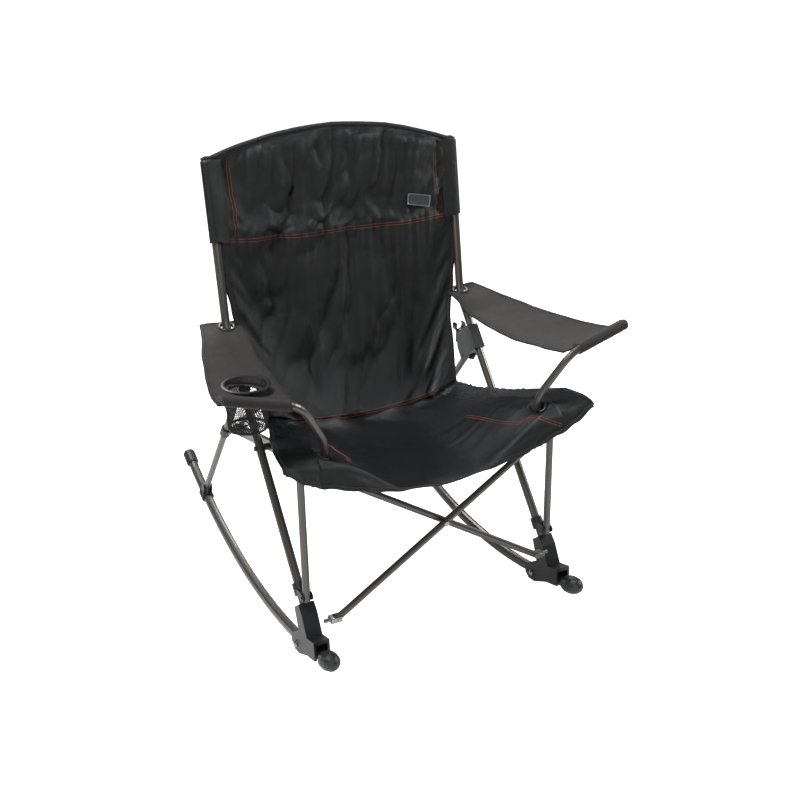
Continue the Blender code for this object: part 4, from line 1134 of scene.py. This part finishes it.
def build_badge():
    """Blank satin plate with a bright raised rim."""
    low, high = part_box("badge_plate")
    cad = NODES["badge_plate"].data
    points = np.array([v.co for v in cad.vertices])
    middle = points.mean(axis=0)
    across, up, facing = np.linalg.svd(points - middle)[2]
    across = across * np.sign(across[0])
    up = up * np.sign(up[2])
    facing = facing * -np.sign(facing[1])
    wide = np.ptp((points - middle) @ across) / 2
    tall = np.ptp((points - middle) @ up) / 2
    column = (high[0] + low[0]) / 2 / CLOTH_HALF
    row = back_row_at(column, middle[2])
    raised = float((on_sling(row, column, 0.0010) - middle) @ facing)
    middle = middle + facing * max(raised, 0.0)

    def plate(inset, back, front, radius, hole=None):
        bm = bmesh.new()
        steps = [(back, inset), (front - 0.0004, inset), (front, inset + 0.0004)]
        if hole:
            steps += [(front, hole - 0.0004), (front - 0.0004, hole), (back, hole)]
        loops = []
        for depth, edge in steps:
            outline = rounded_box(wide - edge, tall - edge, radius)
            loops.append([bm.verts.new(place(x, y, depth)) for x, y in outline])
        if hole:
            loops.append(loops[0])
        for one, two in zip(loops, loops[1:]):
            for k in range(len(one)):
                j = (k + 1) % len(one)
                bm.faces.new((one[k], one[j], two[j], two[k]))
        if not hole:
            bm.faces.new(loops[0][::-1])
            bm.faces.new(loops[-1])
        return finished_mesh(bm, "badge")

    def place(x, y, depth):
        return middle + across * x + up * y + facing * depth

    flat_plate = plate(0.0012, -0.0008, 0.0012, 0.003)
    frame_plate = plate(0.0, -0.0008, 0.0022, 0.004, 0.0026)
    face = add_piece("badge_face", flat_plate, BADGE_FACE, "post_L", False)
    rim = add_piece("badge_rim", frame_plate, BADGE_RIM, "post_L", False)
    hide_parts("badge_plate")
    squash_across(face)
    squash_across(rim)


def rounded_box(wide, tall, radius):
    """Outline of a rectangle with rounded corners."""
    out = []
    for cx, cy, start in ((wide, tall, 0), (-wide, tall, 90), (-wide, -tall, 180), (wide, -tall, 270)):
        for k in range(6):
            turn = math.radians(start + 18 * k)
            x = cx - math.copysign(radius, cx) + radius * math.cos(turn)
            out.append((x, cy - math.copysign(radius, cy) + radius * math.sin(turn)))
    return out


def arm_eyelets():
    """Rubber eyelets in the seat, round the arm tubes where they come up through it."""
    for s, tag in ((-1, "L"), (1, "R")):
        arm = np.array([v.co for v in NODES["arm_tube_" + tag].data.vertices])
        low = arm[arm[:, 2] < arm[:, 2].min() + 0.02].mean(axis=0)
        next_up = arm[(arm[:, 2] > 0.475) & (arm[:, 2] < 0.51)].mean(axis=0)
        share = (0.482 - low[2]) / (next_up[2] - low[2])
        centre = low + (next_up - low) * share
        turns = np.linspace(0, 2 * math.pi, 49)
        ring = [(centre[0] + 0.0135 * math.cos(t), centre[1] + 0.0135 * math.sin(t)) for t in turns]
        spots = [on_sling(seat_row(y), s * min(abs(seat_u(x, y)), 0.99), 0.0012) for x, y in ring]
        loop = closed_loop(np.array(spots), 0.0034, 0.0030)
        eyelet = add_piece("arm_eyelet_" + tag, loop, NYLON, None)
        fold_flap(eyelet)


def closed_loop(path, wide, thick=0.0011):
    """A flat band that runs round a closed path."""
    sides = 8
    count = len(path) - 1
    middle = path[:-1].mean(axis=0)
    rings, uvs = [], []
    for k in range(count + 1):
        point = path[k % count]
        out = point - middle
        out[2] = 0
        out /= np.linalg.norm(out)
        turns = np.linspace(0, 2 * math.pi, sides + 1)
        across = out * thick
        rings.append([point + across * math.cos(t) + np.array((0, 0, wide / 2 * math.sin(t))) for t in turns])
        uvs.append([(t * wide / 2, k * 0.004) for t in turns])
    return welded(grid_mesh(rings, uvs))


def strand_mesh(lines, radius):
    """Thin round strands along the edges of a line mesh."""
    tree, start = begin_tree("net_strands", (("Strand", 0.0006),))
    nodes, links = tree.nodes, tree.links
    split = nodes.new("GeometryNodeSplitEdges")
    curve = nodes.new("GeometryNodeMeshToCurve")
    ring = nodes.new("GeometryNodeCurvePrimitiveCircle")
    ring.inputs["Resolution"].default_value = 5
    solid = nodes.new("GeometryNodeCurveToMesh")
    solid.inputs["Fill Caps"].default_value = True
    links.new(start.outputs["Geometry"], split.inputs["Mesh"])
    links.new(split.outputs["Mesh"], curve.inputs["Mesh"])
    links.new(start.outputs["Strand"], ring.inputs["Radius"])
    links.new(curve.outputs["Curve"], solid.inputs["Curve"])
    links.new(ring.outputs["Curve"], solid.inputs["Profile Curve"])
    end_tree(tree, start, solid.outputs["Mesh"])
    return run_tree(tree, "net", lines, {"Strand": radius, "Material": NET}, lambda x, y, z: (x + y, z))


sew_sling()
bind_sling()
for side, side_tag in ((-1, "L"), (1, "R")):
    post_sleeve(side, side_tag)
    armrest_panel(side, side_tag)
cup_net()
build_badge()
arm_eyelets()


# ---------------------------------------------------------------- camera, stage and light
CAMERA_LENS = 47.7
CAMERA_AT = (-0.9775, -1.9644, 1.3660)
CAMERA_TURN = (-27.729, 22.933)  # azimuth and elevation, degrees


def look():
    camera = bpy.data.cameras.new("camera")
    camera.lens = CAMERA_LENS
    camera.sensor_width = 36.0
    obj = new_object("camera", camera)
    azimuth, elevation = (math.radians(turn) for turn in CAMERA_TURN)
    obj.location = CAMERA_AT
    level = math.cos(elevation)
    back = Vector((math.sin(azimuth) * level, -math.cos(azimuth) * level, math.sin(elevation)))
    right = Vector((0, 0, 1)).cross(back).normalized()
    turned = Matrix((right, back.cross(right), back)).transposed().to_4x4()
    obj.matrix_world = Matrix.Translation(obj.location) @ turned
    bpy.context.scene.camera = obj


def area_light(name, place, aim, size, power, colour=(1, 1, 1)):
    lamp = bpy.data.lights.new(name, "AREA")
    lamp.shape = "RECTANGLE"
    lamp.size, lamp.size_y = size
    lamp.energy = power
    lamp.color = colour
    obj = new_object(name, lamp)
    obj.location = place
    obj.rotation_euler = (Vector(aim) - Vector(place)).to_track_quat("-Z", "Y").to_euler()


SOFT_LIGHT = 0.17  # strength of the white surround, as the chair sees it


def stage():
    mesh = bpy.data.meshes.new("floor")
    reach = 70.0
    corners = [(-reach, -reach, 0), (reach, -reach, 0), (reach, reach, 0), (-reach, reach, 0)]
    mesh.from_pydata(corners, [], [(0, 1, 2, 3)])
    made, tree, shader = shader_of("pale_floor")
    place = tree.nodes.new("ShaderNodeTexCoord")
    cloudy = noise_node(tree, place.outputs["Object"], 1.3, 3.0)
    pale = mix_colour(tree, cloudy, (0.90, 0.90, 0.90), (0.94, 0.94, 0.94))
    tree.links.new(pale, shader.inputs["Base Color"])
    shader.inputs["Roughness"].default_value = 0.95
    shader.inputs["Specular IOR Level"].default_value = 0.0
    shader.inputs["Emission Color"].default_value = (1.0, 1.0, 1.0, 1.0)
    sight = tree.nodes.new("ShaderNodeLightPath").outputs["Is Camera Ray"]
    tree.links.new(math_node(tree, "MULTIPLY", sight, 1.0), shader.inputs["Emission Strength"])
    mesh.materials.append(made)
    new_object("floor", mesh)
    world = bpy.data.worlds.new("studio")
    world.use_nodes = True
    sky = world.node_tree
    sight = sky.nodes.new("ShaderNodeLightPath").outputs["Is Camera Ray"]
    strength = math_node(sky, "MULTIPLY_ADD", sight, 1.0 - SOFT_LIGHT, SOFT_LIGHT)
    sky.nodes["Background"].inputs["Color"].default_value = (1.0, 1.0, 1.0, 1.0)
    sky.links.new(strength, sky.nodes["Background"].inputs["Strength"])
    bpy.context.scene.world = world
    area_light("key", (-1.2, 0.2, 3.0), (0, 0, 0.55), (0.8, 0.8), 112)
    area_light("side", (2.4, -0.5, 1.7), (0, 0, 0.55), (0.6, 1.2), 36)
    area_light("front", (-1.6, -2.6, 1.5), (0, 0, 0.5), (1.2, 1.2), 27)
    area_light("rim", (0.9, 2.4, 2.4), (0, 0, 0.7), (1.8, 0.8), 46)
    scene = bpy.context.scene
    scene.view_settings.view_transform = "Standard"
    scene.view_settings.look = "None"


# ---------------------------------------------------------------- finishes on the frame's own pieces
def finish_frame():
    finishes = {
        TUBE_PAINT: ("rocker_tube", "back_post", "front_leg", "arm_tube", "side_rail", "rear_leg",
                     "front_brace_L", "front_brace_R", "rear_brace_L", "rear_brace_R"),
        NYLON: ("front_cap", "rear_cap", "foot_bracket", "leg_slider", "corner_hub", "rail_rivet",
                "rear_slider", "rocker_clamp", "lock_bracket", "post_plug"),
        DARK_STEEL: ("grommet", "cup_ring"),
        PLATED: ("foot_bolt", "front_link", "front_brace_pin", "front_brace_rivet",
                 "rear_brace_foot_pin", "rear_brace_top_pin", "rear_brace_rivet"),
        BADGE_FACE: ("badge_plate",),
    }
    for name, obj in NODES.items():
        for material, starts in finishes.items():
            if name.startswith(starts):
                for held in obj.material_slots:
                    held.material = material


look()
stage()
finish_frame()
